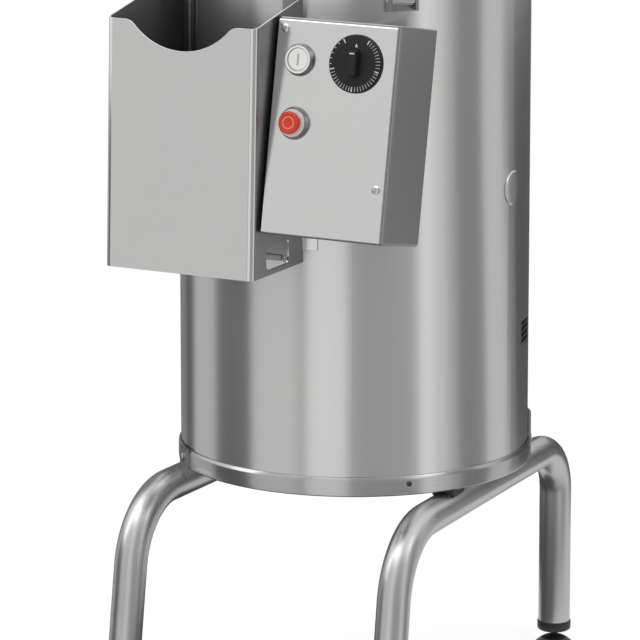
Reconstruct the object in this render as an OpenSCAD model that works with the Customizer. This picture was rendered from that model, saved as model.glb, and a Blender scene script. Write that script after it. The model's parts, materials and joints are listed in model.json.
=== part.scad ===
// Garlic peeling machine: upright steel drum on a bent tube stand, with a chute, a control box and a lid.
// All sizes are in millimetres. +Z is up and the operator stands at -Y.

/* [Stand] */
// Outer diameter of the leg tubes
tube_d = 32; // [26:1:36]
// Wall thickness of the leg tubes
tube_wall = 2; // [1.5:0.5:3]
// How far the left rail lies inside the drum's side
left_rail_in = 32; // [28:1:38]
// How far the right rail's front end lies inside the drum's side
right_rail_in = 28; // [24:1:36]
// How far the right rail turns inwards towards the rear, in degrees
right_toe = 3.3; // [0:0.1:5]
// Height of the underside of the base ring above the floor
frame_top = 232; // [215:1:240]
// Thickness of the saddles between the rails and the ring
saddle_t = 4; // [3:0.5:8]
// Length of each saddle along its rail
saddle_len = 26; // [24:1:40]
// Distance of the front saddles and the rear saddles from the drum axis
saddle_y = 72; // [70:1:90]
// Distance inside the drum's front where the rails start to bend down
rail_front_in = 42; // [30:1:48]
// Distance inside the drum's rear where the right rail starts to bend down
rail_rear_in = 14; // [4:1:20]
// Distance inside the drum's rear where the left rail ends
rail_end_in = 62; // [54:1:66]
// Centre-line radius of the front bends
front_bend_r = 75; // [60:1:85]
// Centre-line radius of the rear bend
rear_bend_r = 50; // [40:1:60]
// Forward rake of the front legs in degrees
leg_rake = 9; // [4:0.5:11]
// Distance of the cross tube behind the drum axis
cross_y = 30; // [10:1:50]
// Azimuth of the lug at the left leg, to the left of the front
front_lug_az = 45; // [43:1:48]
// Azimuth of the lug at the rear leg, to the right of the front
rear_lug_az = 127; // [125:1:130]
// Width of the lugs that stand on the rails
lug_w = 24; // [16:1:28]
// Thickness of the lugs
lug_t = 2.5; // [2:0.5:5]
// Height of the front lug above the ring's underside
lug_h = 19; // [14:1:24]
// Height of the rear lug above the ring's underside
rear_lug_h = 38; // [19:1:50]

/* [Feet] */
// Diameter of the foot pads
pad_d = 40; // [34:1:50]
// Height of the foot pads
pad_h = 11; // [10:1:16]
// Gap between a pad and its end cap, where the stud shows
stud_gap = 5; // [4:1:10]
// Height of the flange of the end caps
cap_h = 10; // [8:1:16]
// How far the flange of an end cap stands out past its tube
cap_lip = 1; // [0.5:0.5:2]
// Diameter of the levelling studs
stud_d = 6.5; // [5:0.5:10]
// How far the studs reach into the caps and tubes
stud_reach = 40; // [34:1:50]

/* [Drum] */
// Outer diameter of the drum
drum_d = 340; // [334:1:340]
// Wall thickness of the drum
drum_wall = 1.5; // [1:0.1:2.5]
// Height of the drum's top edge above the floor
drum_top = 735; // [732:1:745]
// How far the base ring stands out past the drum
ring_out = 2.5; // [2.5:0.1:6]
// Height of the base ring
ring_h = 19; // [16:1:24]
// Sheet thickness of the base ring
ring_wall = 2; // [1.5:0.5:2.5]
// Width of the base ring's inner flange under the drum
flange_w = 40; // [36:1:50]
// Azimuth of the first ring screw, to the right of the front
screw_az = 45; // [42:1:46]
// Height of the chamber floor above the ring's underside
floor_up = 218; // [214:1:224]
// Thickness of the chamber floor
floor_t = 4; // [3:0.5:6]
// Thickness of the abrasive liner
liner_t = 4; // [3:0.5:5]
// Height of the liner
liner_h = 236; // [210:1:240]
// Width of the rim that caps the drum's edge
rim_w = 5.5; // [5:0.1:6]
// Height of the rim
rim_h = 9; // [7:0.5:10]
// How far the rim stands out past the drum
rim_out = 2; // [1.5:0.1:2]

/* [Drum fittings] */
// Diameter of the round plug on the right side
plug_d = 33; // [28:1:40]
// Height of the plug's centre above the floor
plug_z = 513; // [505:1:560]
// Azimuth of the plug, to the right of the front
plug_az = 90; // [88:1:96]
// Thickness of the plug's head
plug_t = 1.5; // [1:0.5:4]
// Azimuth of the vent, to the right of the front
vent_az = 104; // [100:1:110]
// Height of the vent's centre above the floor
vent_z = 364; // [340:1:380]
// Width of the vent opening
vent_w = 30; // [20:1:36]
// Height of the vent opening
vent_h = 24; // [20:1:30]
// Outer diameter of the drain spout
spout_d = 40; // [32:1:42]
// Wall thickness of the drain spout
spout_wall = 2; // [1.5:0.5:3]
// How far the drain spout stands out from the drum
spout_len = 60; // [50:1:70]
// Thickness of the drain spout's collar at the drum
collar_t = 6; // [4:1:8]
// Width of the drain spout's collar
collar_w = 5; // [4:1:8]
// Outer diameter of the water inlet's nipple
inlet_d = 14; // [12:1:18]
// How far the water inlet stands out from the drum
inlet_len = 40; // [30:1:46]
// Height of the water inlet below the drum's top edge
inlet_down = 34; // [30:1:40]
// Azimuth of the cable gland, to the right of the front
gland_az = 160; // [150:1:170]
// Height of the cable gland above the ring's underside
gland_up = 46; // [40:1:60]

/* [Drive] */
// Diameter of the drive shaft
shaft_d = 24; // [20:1:26]
// Running clearance on the radius of the shafts
run_gap = 0.05; // [0.02:0.01:0.08]
// Outer diameter of the bearings
bearing_d = 52; // [50:1:56]
// Width of the bearings
bearing_w = 15; // [12:1:18]
// Wall of the bearing housing
housing_wall = 8; // [6:1:10]
// Length of the bearing housing under the chamber floor
housing_len = 100; // [80:1:110]
// Gap between the peeling plate's edge and the liner
plate_clear = 5.5; // [4:0.5:9]
// Thickness of the peeling plate
plate_t = 12; // [10:1:16]
// Height of the peeling plate above the chamber floor
plate_gap = 8; // [6:1:10]
// Radius of the ridges on the peeling plate
ridge_r = 9; // [7:0.5:10]
// Pitch diameter of the driven pulley
driven_d = 100; // [90:1:104]
// Pitch diameter of the motor pulley
drive_d = 50; // [44:1:54]
// Distance between the pulley axes
pulley_pitch = 92; // [88:1:96]
// Direction of the motor from the drum axis, degrees from +X
motor_dir = -28; // [-40:1:10]
// Diameter of the motor
motor_d = 104; // [96:1:112]
// Length of the motor
motor_len = 125; // [110:1:130]
// Height of the middle of the belt above the ring's underside
belt_up = 34; // [30:1:40]
// Thickness of the belt
belt_t = 6; // [4:0.5:8]
// Width of the belt
belt_w = 12; // [10:1:14]
// Diameter of the motor shaft
motor_shaft_d = 16; // [14:1:18]

/* [Lid] */
// Azimuth of the latch, to the right of the front
latch_az = 41.6; // [41:0.1:44]
// Gap between the rim and the lid's seal
seal_gap = 0.3; // [0.2:0.1:0.5]
// Thickness of the lid's seal
seal_t = 3; // [2:0.5:4]
// Sheet thickness of the lid
lid_wall = 1.5; // [1:0.1:2]
// How far the lid's edge stands out past the drum
lid_out = 1; // [0.5:0.1:1]
// Width of the lid's flat flange
lid_flange = 11; // [9:1:14]
// Height of the lid's raised middle
lid_rise = 26; // [20:1:34]
// Corner radius of the lid's raised middle
lid_corner = 12; // [8:1:16]
// Length of the lid's handle
handle_len = 120; // [100:1:140]
// Height of the handle's bar above the lid
handle_up = 34; // [30:1:42]
// Diameter of the handle's bar
handle_d = 14; // [12:1:16]
// Diameter of the hinge pin
hinge_pin_d = 8; // [6:1:9]
// Length of the lid's hinge knuckle
knuckle_len = 30; // [24:1:36]
// Outer diameter of the lid's hinge knuckle
knuckle_d = 16; // [14:1:18]
// Width of the latch lever
latch_w = 22; // [20:1:28]
// How far the latch lever's lower end lies below the drum's top edge
latch_down = 36; // [33:1:41]

/* [Chute] */
// Distance of the chute's left wall from the middle plane
chute_left = 126; // [120:1:130]
// Distance of the chute's right wall from the middle plane
chute_right = 32; // [30:1:33]
// How far the foot of the front wall stands out from the drum
chute_out = 97; // [86:1:110]
// How far the top of the front wall lies behind its foot
chute_lean = 9; // [4:1:14]
// Height of the chute's lower edge above the floor
chute_low = 458; // [450:1:470]
// Height of the chute's top edge above the floor
chute_high = 692; // [680:1:700]
// Sheet thickness of the chute
chute_wall = 1.5; // [1:0.1:2]
// Width of the scallop in the front wall's top edge, between the tops of its shoulders
scallop_w = 120; // [100:1:124]
// Depth of the scallop
scallop_h = 26; // [20:1:32]
// Radius of the scallop's shoulders
shoulder_r = 14; // [8:1:18]
// Width of the window in the right wall
window_w = 44; // [36:1:48]
// Height of the window in the right wall
window_h = 25; // [20:1:28]
// Corner radius of the window
window_r = 6; // [4:0.5:8]
// Distance of the window from the chute's front wall
window_in = 26; // [20:1:28]
// Distance of the window from the chute's lower edge
window_up = 5; // [3:0.5:8]
// Rise of the side walls' top edges towards the drum, in degrees
chute_slope = 10; // [2:0.5:12]
// Width of the chute's fixing flanges
tab_w = 14; // [12:1:16]

/* [Discharge door] */
// Width of the discharge opening
port_w = 116; // [100:1:120]
// Height of the discharge opening
port_h = 116; // [100:1:118]
// Distance of the opening's middle to the left of the middle plane
port_left = 44; // [43:1:46]
// Height of the opening above the chamber floor
port_up = 18; // [14:1:22]
// Sheet thickness of the door
door_t = 2; // [1.5:0.5:3]
// How far the door overlaps the opening on each side, in degrees
door_lap = 1.4; // [1:0.1:2]
// How far the door overlaps the opening above and below
door_lap_z = 8; // [6:1:10]
// Gap between the sliding door and what guides it
door_gap = 0.5; // [0.3:0.1:0.7]
// Width of the guides beside the door, in degrees
guide_deg = 2.4; // [2:0.1:2.6]
// Thickness of the lips that hold the door
guide_lip = 2; // [1.5:0.5:2.5]
// Diameter of the door's knob
knob_d = 26; // [20:1:30]
// Length of the door knob's neck
knob_neck = 16; // [12:1:22]

/* [Control box] */
// Width of the control box
box_w = 126; // [122:1:130]
// Length of the control panel from its lower edge to its upper edge
box_h = 201; // [195:1:210]
// Depth of the control box
box_depth = 79; // [70:1:82]
// Distance of the box's left side from the middle plane
box_left = 34; // [34:1:40]
// How far the panel's lower edge stands out from the drum
box_out = 86; // [78:1:92]
// Height of the panel's upper edge below the drum's top edge
box_down = 35.5; // [34:0.5:42]
// Backward tilt of the control panel in degrees
box_tilt = 11; // [8:0.5:13]
// Sheet thickness of the box
box_wall = 1.5; // [1:0.1:2.5]
// Corner radius of the box
box_r = 5; // [3:0.5:8]
// Thickness of the control panel
panel_t = 2; // [1.5:0.5:3]
// Distance of the button column from the panel's left edge
button_s = 27; // [24:0.5:29]
// Distance of the start button from the panel's upper edge
start_down = 38.5; // [34:0.5:41]
// Distance of the stop button from the panel's upper edge
stop_down = 97; // [84:1:104]
// Distance of the timer dial from the panel's left edge
timer_s = 85; // [82:1:88]
// Distance of the timer dial from the panel's upper edge
timer_down = 38; // [35:1:41]
// Outer diameter of the button bezels
bezel_d = 30.5; // [29:0.5:34]
// Height of the button bezels
bezel_h = 5.5; // [3:0.5:7]
// Diameter of the button caps
cap_d = 21.5; // [20:0.1:24]
// Travel of the buttons
button_travel = 3; // [2:0.5:4]
// Diameter of the timer dial
dial_d = 54; // [50:0.5:60]
// Thickness of the timer dial's disc
dial_t = 2.5; // [2:0.5:5]
// Height of the timer dial's grip
grip_h = 8; // [6:1:12]
// Width of the timer dial's grip
grip_w = 10; // [8:1:14]
// Length of the timer dial's grip
grip_len = 24; // [18:1:40]
// Size of the bracket that carries the box, along X
bracket_w = 40; // [30:1:46]
// Size of the bracket that carries the box, along Z
bracket_h = 60; // [50:1:70]

/* [Hidden] */
$fn = 64;
eps = 0.01;

drum_r = drum_d / 2;
ring_r = drum_r + ring_out;
tube_r = tube_d / 2;
chute_front = drum_r + chute_out;

// Stand
left_rail_x = drum_r - left_rail_in;
right_rail_x = drum_r - right_rail_in;
rail_front = drum_r - rail_front_in;
rail_rear = drum_r - rail_rear_in;
rail_end = drum_r - rail_end_in;
rail_z = frame_top - saddle_t - tube_r;
tube_end = pad_h + stud_gap + cap_h;
bend_end_y = rail_front + front_bend_r * cos(leg_rake);
bend_end_z = rail_z - front_bend_r + front_bend_r * sin(leg_rake);
front_foot_y = bend_end_y + (bend_end_z - tube_end) * tan(leg_rake);
rear_foot_y = rail_rear + rear_bend_r;
// The right tube turns about the front end of its rail
function on_right(y) = [
  right_rail_x - (y + rail_front) * sin(right_toe), (y + rail_front) * cos(right_toe) - rail_front
];
left_foot = [-left_rail_x, -front_foot_y];
right_foot = on_right(-front_foot_y);
rear_foot = on_right(rear_foot_y);
// The whole machine is set back so that the origin lies under the middle of its box
front_reach = max(chute_front, front_foot_y + pad_d / 2);
rear_reach = max(drum_r + spout_len, rear_foot[1] + pad_d / 2);
place_y = (front_reach - rear_reach) / 2;
// Bends are a hair fatter than the straight runs, which end just inside them
bend_swell = 0.05;
bend_lap = 0.5;
lug_bolt_r = 3;
lug_head_r = 4.5;
lug_head_h = 2.2;
// The cross tube is this much slimmer on the radius than the rails
cross_less = 3;
cap_plug_r = tube_r - tube_wall - 4;
cap_plug_h = 15;
stud_r = stud_d / 2;
thread_gap = 0.05;
pad_dome = pad_d * 0.35 + pad_h;

// Heights in the drum
drum_low = frame_top + ring_wall;
floor_z = frame_top + floor_up;
chamber_z = floor_z + floor_t;
port_z = chamber_z + port_up;
rim_top = drum_top + 3;
spout_z = chamber_z + spout_d / 2 + 3;
drum_in = drum_r - drum_wall;
// How far cuts for the fittings reach past the drum wall
spout_in = 30;

// Drive
shaft_r = shaft_d / 2;
bearing_r = bearing_d / 2;
housing_r = bearing_r + housing_wall;
housing_low = floor_z - housing_len;
plate_z = chamber_z + plate_gap;
plate_r = drum_r - drum_wall - liner_t - plate_clear;
belt_z = frame_top + belt_up;
belt_low = belt_z - belt_w / 2;
shaft_low = belt_z - belt_w;
motor_low = floor_z - 5 - motor_len;
pulley_gap = 0.3;
cheek_t = 3;
motor_bore = 20;
hole_ring_in = 70;
motor_end = 14;
motor_plate_t = 5;
motor_plate_lip = 4;
housing_flange = 8;
hole_ring_r = drum_r - hole_ring_in;

// Lid
seal_z = rim_top + seal_gap;
lid_z = seal_z + seal_t;
lid_r = drum_r + lid_out;
lid_top = lid_z + lid_rise;
hinge_out = 15;
hinge_y = drum_r + hinge_out;
hinge_z = lid_z + 7;
ear_t = 6;
ear_top = 8;
hinge_drop = 50;
hinge_foot = 10;
hinge_half_deg = 9;
hinge_plate_t = 4;
ear_gap = 0.5;
latch_low = drum_top - latch_down;
latch_pin_z = latch_low + 10;
latch_y = drum_r + 9;
latch_pin_r = 2.5;
latch_t = 5;
hook_z = lid_z + lid_wall + 2;
hook_reach = latch_y - lid_r - 0.5;

// Chute
chute_high_y = chute_front - chute_lean;
// The scallop's floor is an arc that runs into the arcs of its shoulders
scallop_span = (scallop_w * scallop_w / 4 + scallop_h * scallop_h) / (2 * scallop_h);
scallop_r = scallop_span - shoulder_r;
tab_low = chute_low + 12;
// The left flange runs up the drum, and the right one ends at the foot of the control box
function tab_high(x) = x < 0 ? chute_high - 8 : box_low;
bolt_in = 28;

// Discharge door
port_a0 = asin((-port_left - port_w / 2) / drum_r);
port_a1 = asin((-port_left + port_w / 2) / drum_r);
port_mid = (port_a0 + port_a1) / 2;
door_half = (port_a1 - port_a0) / 2 + door_lap;
door_in = drum_r + door_gap;
door_out = door_in + door_t;
door_low = port_z - door_lap_z;
door_high = port_z + port_h + door_lap_z;
side_gap_deg = 0.2;
guide_out = door_out + door_gap + guide_lip;
guide_high = drum_top - rim_h - 4;
knob_z = door_high - knob_d / 2 - 4;

// Control panel places
box_front = drum_r + box_out;
box_low = drum_top - box_down - box_h * cos(box_tilt);
start_t = box_h - start_down;
stop_t = box_h - stop_down;
timer_t = box_h - timer_down;
panel_lap = 3;
sleeve_r = cap_d / 2 + 0.4;
sleeve_t = 1.5;
sleeve_len = 22;
stop_lift = bezel_h + button_travel + 0.4;
dial_gap = 0.5;
timer_shaft_r = 3;
timer_size = 48;
timer_len = 38;
screw_in_s = 9.5;
screw_down = 10.5;
screw_r = 1.75;
screw_head_r = 4.2;
stop_cap_h = 4.5;
screw_gap = 0.1;
contactor_w = 45;
contactor_h = 62;
contactor_d = 40;

steel = "silver";
dark_steel = "dimgray";
black = "#202022";

// Common places and shapes

// Sets the machine back from the drum axis to its own middle
module placed() {
  translate([0, place_y, 0]) children();
}

// Turns a shape that faces the front to an azimuth on the right of the front
module at_azimuth(az) {
  rotate([0, 0, az]) children();
}

// Lays the axis of a shape along the outward radius at an azimuth and a height
module radial(az, z, r) {
  at_azimuth(az) translate([0, -r, z]) rotate([90, 0, 0]) children();
}

// A ring sector of radii r0 to r1 and heights z0 to z1, between two azimuths
module sector(r0, r1, z0, z1, a0, a1) {
  rotate([0, 0, a0 - 90])
    rotate_extrude(angle = a1 - a0) translate([r0, z0]) square([r1 - r0, z1 - z0]);
}

module ring(r0, r1, z0, z1) {
  rotate_extrude() translate([r0, z0]) square([r1 - r0, z1 - z0]);
}

// A rectangle with round corners, from its lower left corner
module round_rect(w, h, r) {
  translate([r, 0]) square([w - 2 * r, h]);
  translate([0, r]) square([w, h - 2 * r]);
  for (x = [r, w - r], y = [r, h - r]) translate([x, y]) circle(r);
}

// Upright plane along Y: local x is Y, local y is Z
module in_side_plane(x) {
  translate([x, 0, 0]) rotate([90, 0, 90]) children();
}

// Upright planes of the two bent tubes: their rails lie at x = 0
module left_plane() translate([-left_rail_x, 0, 0]) children();

module right_plane()
  translate([right_rail_x, -rail_front, 0]) rotate([0, 0, right_toe])
    translate([0, rail_front, 0]) children();

// Solid path of a front leg and its bend, of radius r, with its straight run ending inside the bend
module front_leg(r) {
  in_side_plane(0)
    translate([-rail_front, rail_z - front_bend_r]) rotate([0, 0, 90])
      rotate_extrude(angle = 90 - leg_rake) translate([front_bend_r, 0]) circle(r + bend_swell);
  len = (bend_end_z - tube_end) / cos(leg_rake) + tube_d;
  translate([0, -bend_end_y, bend_end_z]) rotate([-leg_rake, 0, 0])
    translate([0, 0, -len]) cylinder(r = r, h = len + bend_lap);
}

// Clears what hangs below the level end of a front leg
module below_leg() {
  translate([-tube_d, -front_foot_y - 2 * tube_d, tube_end - 2 * tube_d])
    cube([2 * tube_d, 4 * tube_d, 2 * tube_d]);
}

module rail(r, y0, y1) translate([0, y0, rail_z]) rotate([-90, 0, 0]) cylinder(r = r, h = y1 - y0);

// The room that both rails take
module rail_space() {
  left_plane() rail(tube_r, -drum_d, drum_d);
  right_plane() rail(tube_r, -drum_d, drum_d);
}

// Stand

// Solid path of the right tube, an arch with a raked front leg and an upright rear leg
module right_path(r, over) {
  front_leg(r);
  rail(r, -rail_front - bend_lap, rail_rear + bend_lap);
  in_side_plane(0) translate([rail_rear, rail_z - rear_bend_r])
    rotate_extrude(angle = 90) translate([rear_bend_r, 0]) circle(r + bend_swell);
  translate([0, rear_foot_y, tube_end - over])
    cylinder(r = r, h = rail_z - rear_bend_r - tube_end + over + bend_lap);
}

module right_leg_tube() color(steel) placed() right_plane() difference() {
  right_path(tube_r, 0);
  right_path(tube_r - tube_wall, 1);
  below_leg();
}

// Solid path of the left tube, one raked leg and its rail
module left_path(r, over) {
  front_leg(r);
  rail(r, -rail_front - bend_lap, rail_end + over);
}

module left_leg_tube() color(steel) placed() left_plane() difference() {
  left_path(tube_r, 0);
  left_path(tube_r - tube_wall, 1);
  below_leg();
}

module cross_tube() color(steel) placed() difference() {
  right_end = on_right(cross_y)[0];
  translate([-left_rail_x, cross_y, rail_z]) rotate([0, 90, 0])
    linear_extrude(left_rail_x + right_end) difference() {
      circle(tube_r - cross_less);
      circle(tube_r - cross_less - tube_wall);
    }
  rail_space();
}

module rail_plug() color(black) placed() translate([-left_rail_x, rail_end, rail_z]) rotate([-90, 0, 0]) {
  cylinder(r = tube_r, h = 3);
  translate([0, 0, -12]) cylinder(r = tube_r - tube_wall, h = 12);
}

module saddle(y) {
  low = rail_z + tube_r * 0.8;
  translate([-tube_r * 0.7, y - saddle_len / 2, low]) cube([tube_r * 1.4, saddle_len, frame_top - low]);
}

module rail_saddles() color(dark_steel) placed() difference() {
  for (y = [-saddle_y, saddle_y]) {
    left_plane() saddle(y);
    right_plane() saddle(y);
  }
  rail_space();
}

// Lugs stand on the rails at the front left and at the rear right
function lug_places() = [[-front_lug_az, lug_h], [rear_lug_az, rear_lug_h]];

module rail_lugs() color(steel) placed() difference() {
  half = asin(lug_w / 2 / ring_r);
  for (p = lug_places())
    sector(ring_r, ring_r + lug_t, rail_z + tube_r * 0.6, frame_top + p[1], p[0] - half, p[0] + half);
  rail_space();
  for (p = lug_places())
    radial(p[0], frame_top + lug_h / 2, ring_r - 1) cylinder(r = lug_bolt_r, h = lug_t + 4);
}

module lug_bolts() color(dark_steel) placed() for (p = lug_places())
  radial(p[0], frame_top + lug_h / 2, ring_r) {
    cylinder(r = lug_bolt_r, h = lug_t + 1);
    translate([0, 0, lug_t + 0.2]) cylinder(r = lug_head_r, h = lug_head_h, $fn = 6);
  }

module foot_place(p) placed() translate([p[0], p[1], 0]) children();

module leg_cap() difference() {
  union() {
    translate([0, 0, tube_end - cap_h]) cylinder(r = tube_r + cap_lip, h = cap_h);
    translate([0, 0, tube_end - eps]) cylinder(r = cap_plug_r, h = cap_plug_h + eps);
  }
  translate([0, 0, tube_end - cap_h - 1]) cylinder(r = stud_r + thread_gap, h = cap_h + cap_plug_h + 2);
}

module leg_caps() color(black) for (p = [left_foot, right_foot, rear_foot]) foot_place(p) leg_cap();

// A levelling foot: a domed pad moulded onto its stud
module foot() color(black) {
  rotate_extrude() intersection() {
    square([pad_d / 2, pad_h]);
    translate([0, pad_h - pad_dome]) circle(pad_dome);
  }
  translate([0, 0, pad_h / 2]) cylinder(r = stud_r, h = pad_h / 2 + stud_gap + stud_reach);
}

module foot_left() foot_place(left_foot) foot();
module foot_right() foot_place(right_foot) foot();
module foot_rear() foot_place(rear_foot) foot();

// Drum

function screw_places() = [for (k = [0:2]) screw_az + 120 * k];

module screw_holes(r) for (az = screw_places())
  radial(az, frame_top + ring_h / 2, drum_r - 6) cylinder(r = r, h = ring_r - drum_r + 12);

module base_ring() color(steel) placed() difference() {
  rotate_extrude() {
    translate([drum_r - flange_w, frame_top]) square([ring_r - drum_r + flange_w, ring_wall]);
    translate([ring_r - ring_wall, frame_top]) square([ring_wall, ring_h - ring_wall / 2]);
    translate([ring_r - ring_wall / 2, frame_top + ring_h - ring_wall / 2]) circle(ring_wall / 2);
  }
  screw_holes(2);
}

module ring_screws() color(steel) placed() for (az = screw_places())
  radial(az, frame_top + ring_h / 2, drum_r - 4) {
    cylinder(r = 2, h = ring_r - drum_r + 5);
    translate([0, 0, ring_r - drum_r + 4]) cylinder(r = 4, h = 2.2);
  }

module bottom_cover() color(steel) placed() difference() {
  translate([0, 0, drum_low]) cylinder(r = drum_in - 0.5, h = 1.5);
  for (a = [0:30:330]) rotate([0, 0, a]) translate([hole_ring_r, 0, drum_low - 1]) cylinder(r = 6, h = 4);
}

module port_cut(r0) sector(r0, drum_r + 1, port_z, port_z + port_h, port_a0, port_a1);

module drum_shell() color(steel) placed() difference() {
  ring(drum_in, drum_r, drum_low, drum_top);
  port_cut(drum_in - 1);
  screw_holes(2);
  radial(plug_az, plug_z, drum_in - 4) cylinder(r = plug_d / 4, h = 12);
  at_azimuth(vent_az) translate([-vent_w / 2, -drum_r - 5, vent_z - vent_h / 2]) cube([vent_w, 20, vent_h]);
  radial(180, spout_z, drum_in - 10) cylinder(r = spout_d / 2, h = 20);
  radial(180, drum_top - inlet_down, drum_in - 6) cylinder(r = inlet_d / 2, h = 20);
  radial(gland_az, frame_top + gland_up, drum_in - 6) cylinder(r = 8, h = 20);
}

module top_rim() color(steel) placed() difference() {
  ring(drum_r + rim_out - rim_w, drum_r + rim_out, rim_top - rim_h, rim_top);
  ring(drum_in, drum_r, rim_top - rim_h - 1, drum_top);
}

module side_plug() color(steel) placed() radial(plug_az, plug_z, drum_in) {
  cylinder(r = plug_d / 4, h = drum_wall + plug_t / 2);
  translate([0, 0, drum_wall]) cylinder(r = plug_d / 2, h = plug_t);
}

module vent_grille() color(black) placed() difference() {
  half = asin(vent_w / 2 / drum_in) + 1.5;
  low = vent_z - vent_h / 2;
  sector(drum_in - 2.5, drum_in, low - 4, low + vent_h + 4, vent_az - half, vent_az + half);
  for (k = [0:3]) at_azimuth(vent_az)
    translate([-vent_w / 2, -drum_r - 5, low + (k + 0.25) * vent_h / 4]) cube([vent_w, 20, vent_h / 8]);
}

module cable_gland() color(black) placed() radial(gland_az, frame_top + gland_up, drum_in - 4) difference() {
  union() {
    cylinder(r = 8, h = drum_wall + 6);
    translate([0, 0, drum_wall + 4]) cylinder(r = 12, h = 6, $fn = 6);
    translate([0, 0, drum_wall + 9]) cylinder(r = 9, h = 8);
  }
  translate([0, 0, -1]) cylinder(r = 4, h = 40);
}

module drain_spout() color(steel) placed() difference() {
  union() {
    radial(180, spout_z, drum_in - 6) cylinder(r = spout_d / 2, h = drum_wall + 6 + spout_len);
    // Collar against the outside of the drum
    difference() {
      radial(180, spout_z, drum_r - collar_t) cylinder(r = spout_d / 2 + collar_w, h = 2 * collar_t);
      translate([0, 0, spout_z - spout_d]) cylinder(r = drum_r, h = 2 * spout_d);
    }
  }
  radial(180, spout_z, drum_in - spout_in)
    cylinder(r = spout_d / 2 - spout_wall, h = spout_len + 2 * spout_in);
  ring(0, drum_in - liner_t, spout_z - spout_d, spout_z + spout_d);
}

module water_inlet() color("goldenrod") placed() difference() {
  union() {
    radial(180, drum_top - inlet_down, drum_in - 4) cylinder(r = inlet_d / 2, h = drum_wall + 4 + inlet_len);
    radial(180, drum_top - inlet_down, drum_r - 2) cylinder(r = inlet_d / 2 + 5, h = 8, $fn = 6);
  }
  radial(180, drum_top - inlet_down, drum_in - 5) cylinder(r = inlet_d / 2 - 2, h = inlet_len + 20);
  difference() {
    ring(drum_in - 20, drum_r, drum_top - inlet_down - 20, drum_top - inlet_down + 20);
    radial(180, drum_top - inlet_down, drum_in - spout_in) cylinder(r = inlet_d / 2, h = 2 * spout_in);
  }
}

module chamber_floor() color(steel) placed() difference() {
  translate([0, 0, floor_z]) cylinder(r = drum_in, h = floor_t);
  translate([0, 0, floor_z - 1]) cylinder(r = bearing_r - 8, h = floor_t + 2);
}

module chamber_liner() color("darkgray") placed() difference() {
  ring(drum_in - liner_t, drum_in, chamber_z, chamber_z + liner_h);
  port_cut(drum_in - liner_t - 1);
  radial(180, spout_z, drum_in - spout_in) cylinder(r = spout_d / 2, h = 2 * spout_in);
  radial(plug_az, plug_z, drum_in - spout_in) cylinder(r = plug_d / 4, h = 2 * spout_in);
}

// Drive

module bearing_housing() color("gray") placed() difference() {
  union() {
    translate([0, 0, housing_low]) cylinder(r = housing_r, h = housing_len);
    translate([0, 0, floor_z - housing_flange]) cylinder(r = housing_r + housing_flange, h = housing_flange);
  }
  for (z = [housing_low - 1, floor_z - bearing_w - 3])
    translate([0, 0, z]) cylinder(r = bearing_r, h = bearing_w + (z < housing_low ? 1 : 4));
  translate([0, 0, housing_low - 1]) cylinder(r = bearing_r - 6, h = housing_len + 2);
}

function bearing_places() = [housing_low, floor_z - bearing_w - 3];

module bearings() color("lightgray") placed() for (z = bearing_places())
  ring(shaft_r + run_gap, bearing_r, z, z + bearing_w);

module shaft_seal() color(black) placed() ring(shaft_r + run_gap, bearing_r - 8, floor_z, chamber_z);

module drive_shaft() color("lightgray") placed() {
  translate([0, 0, shaft_low]) cylinder(r = shaft_r, h = plate_z + plate_t - shaft_low);
  translate([0, 0, plate_z + plate_t - eps]) cylinder(r = shaft_r / 2, h = 16);
}

module peeling_plate() color("darkgray") placed() difference() {
  union() {
    translate([0, 0, plate_z]) cylinder(r = plate_r, h = plate_t);
    for (a = [30, 150, 270]) rotate([0, 0, a]) translate([shaft_r + 26, 0, plate_z + plate_t])
      rotate([0, 90, 0]) cylinder(r = ridge_r, h = plate_r - shaft_r - 40);
  }
  translate([0, 0, plate_z - 1]) cylinder(r = shaft_r, h = plate_t + 2);
}

module plate_nut() color(steel) placed() difference() {
  translate([0, 0, plate_z + plate_t]) cylinder(r = shaft_r + 4, h = 10, $fn = 6);
  translate([0, 0, plate_z]) cylinder(r = shaft_r / 2, h = plate_t + 12);
}

module at_motor() placed() rotate([0, 0, motor_dir]) translate([pulley_pitch, 0, 0]) children();

module pulley(d, bore_r) difference() {
  rotate_extrude() {
    square([d / 2, belt_w]);
    for (z = [-cheek_t, belt_w]) translate([0, z]) square([d / 2 + belt_t + 1, cheek_t]);
  }
  translate([0, 0, -cheek_t - 1]) cylinder(r = bore_r, h = belt_w + 2 * cheek_t + 2);
}

module driven_pulley() color("gray") placed()
  translate([0, 0, belt_low]) pulley(driven_d, shaft_r);

module motor_pulley() color("gray") at_motor()
  translate([0, 0, belt_low]) pulley(drive_d, motor_shaft_d / 2);

// Outline of the belt around two pulleys, at a distance from their faces
module belt_outline(off) {
  r1 = driven_d / 2 + off;
  r2 = drive_d / 2 + off;
  c = (r1 - r2) / pulley_pitch;
  s = sqrt(1 - c * c);
  circle(r1);
  translate([pulley_pitch, 0]) circle(r2);
  x2 = pulley_pitch + r2 * c;
  polygon([[r1 * c, r1 * s], [x2, r2 * s], [x2, -r2 * s], [r1 * c, -r1 * s]]);
}

module drive_belt() color(black) placed() rotate([0, 0, motor_dir])
  translate([0, 0, belt_low + pulley_gap]) linear_extrude(belt_w - 2 * pulley_gap) difference() {
    belt_outline(belt_t);
    belt_outline(pulley_gap);
  }

module motor_shaft() color("lightgray") at_motor()
  translate([0, 0, belt_low - cheek_t])
    cylinder(r = motor_shaft_d / 2, h = motor_low + motor_bore - belt_low + cheek_t);

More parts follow.
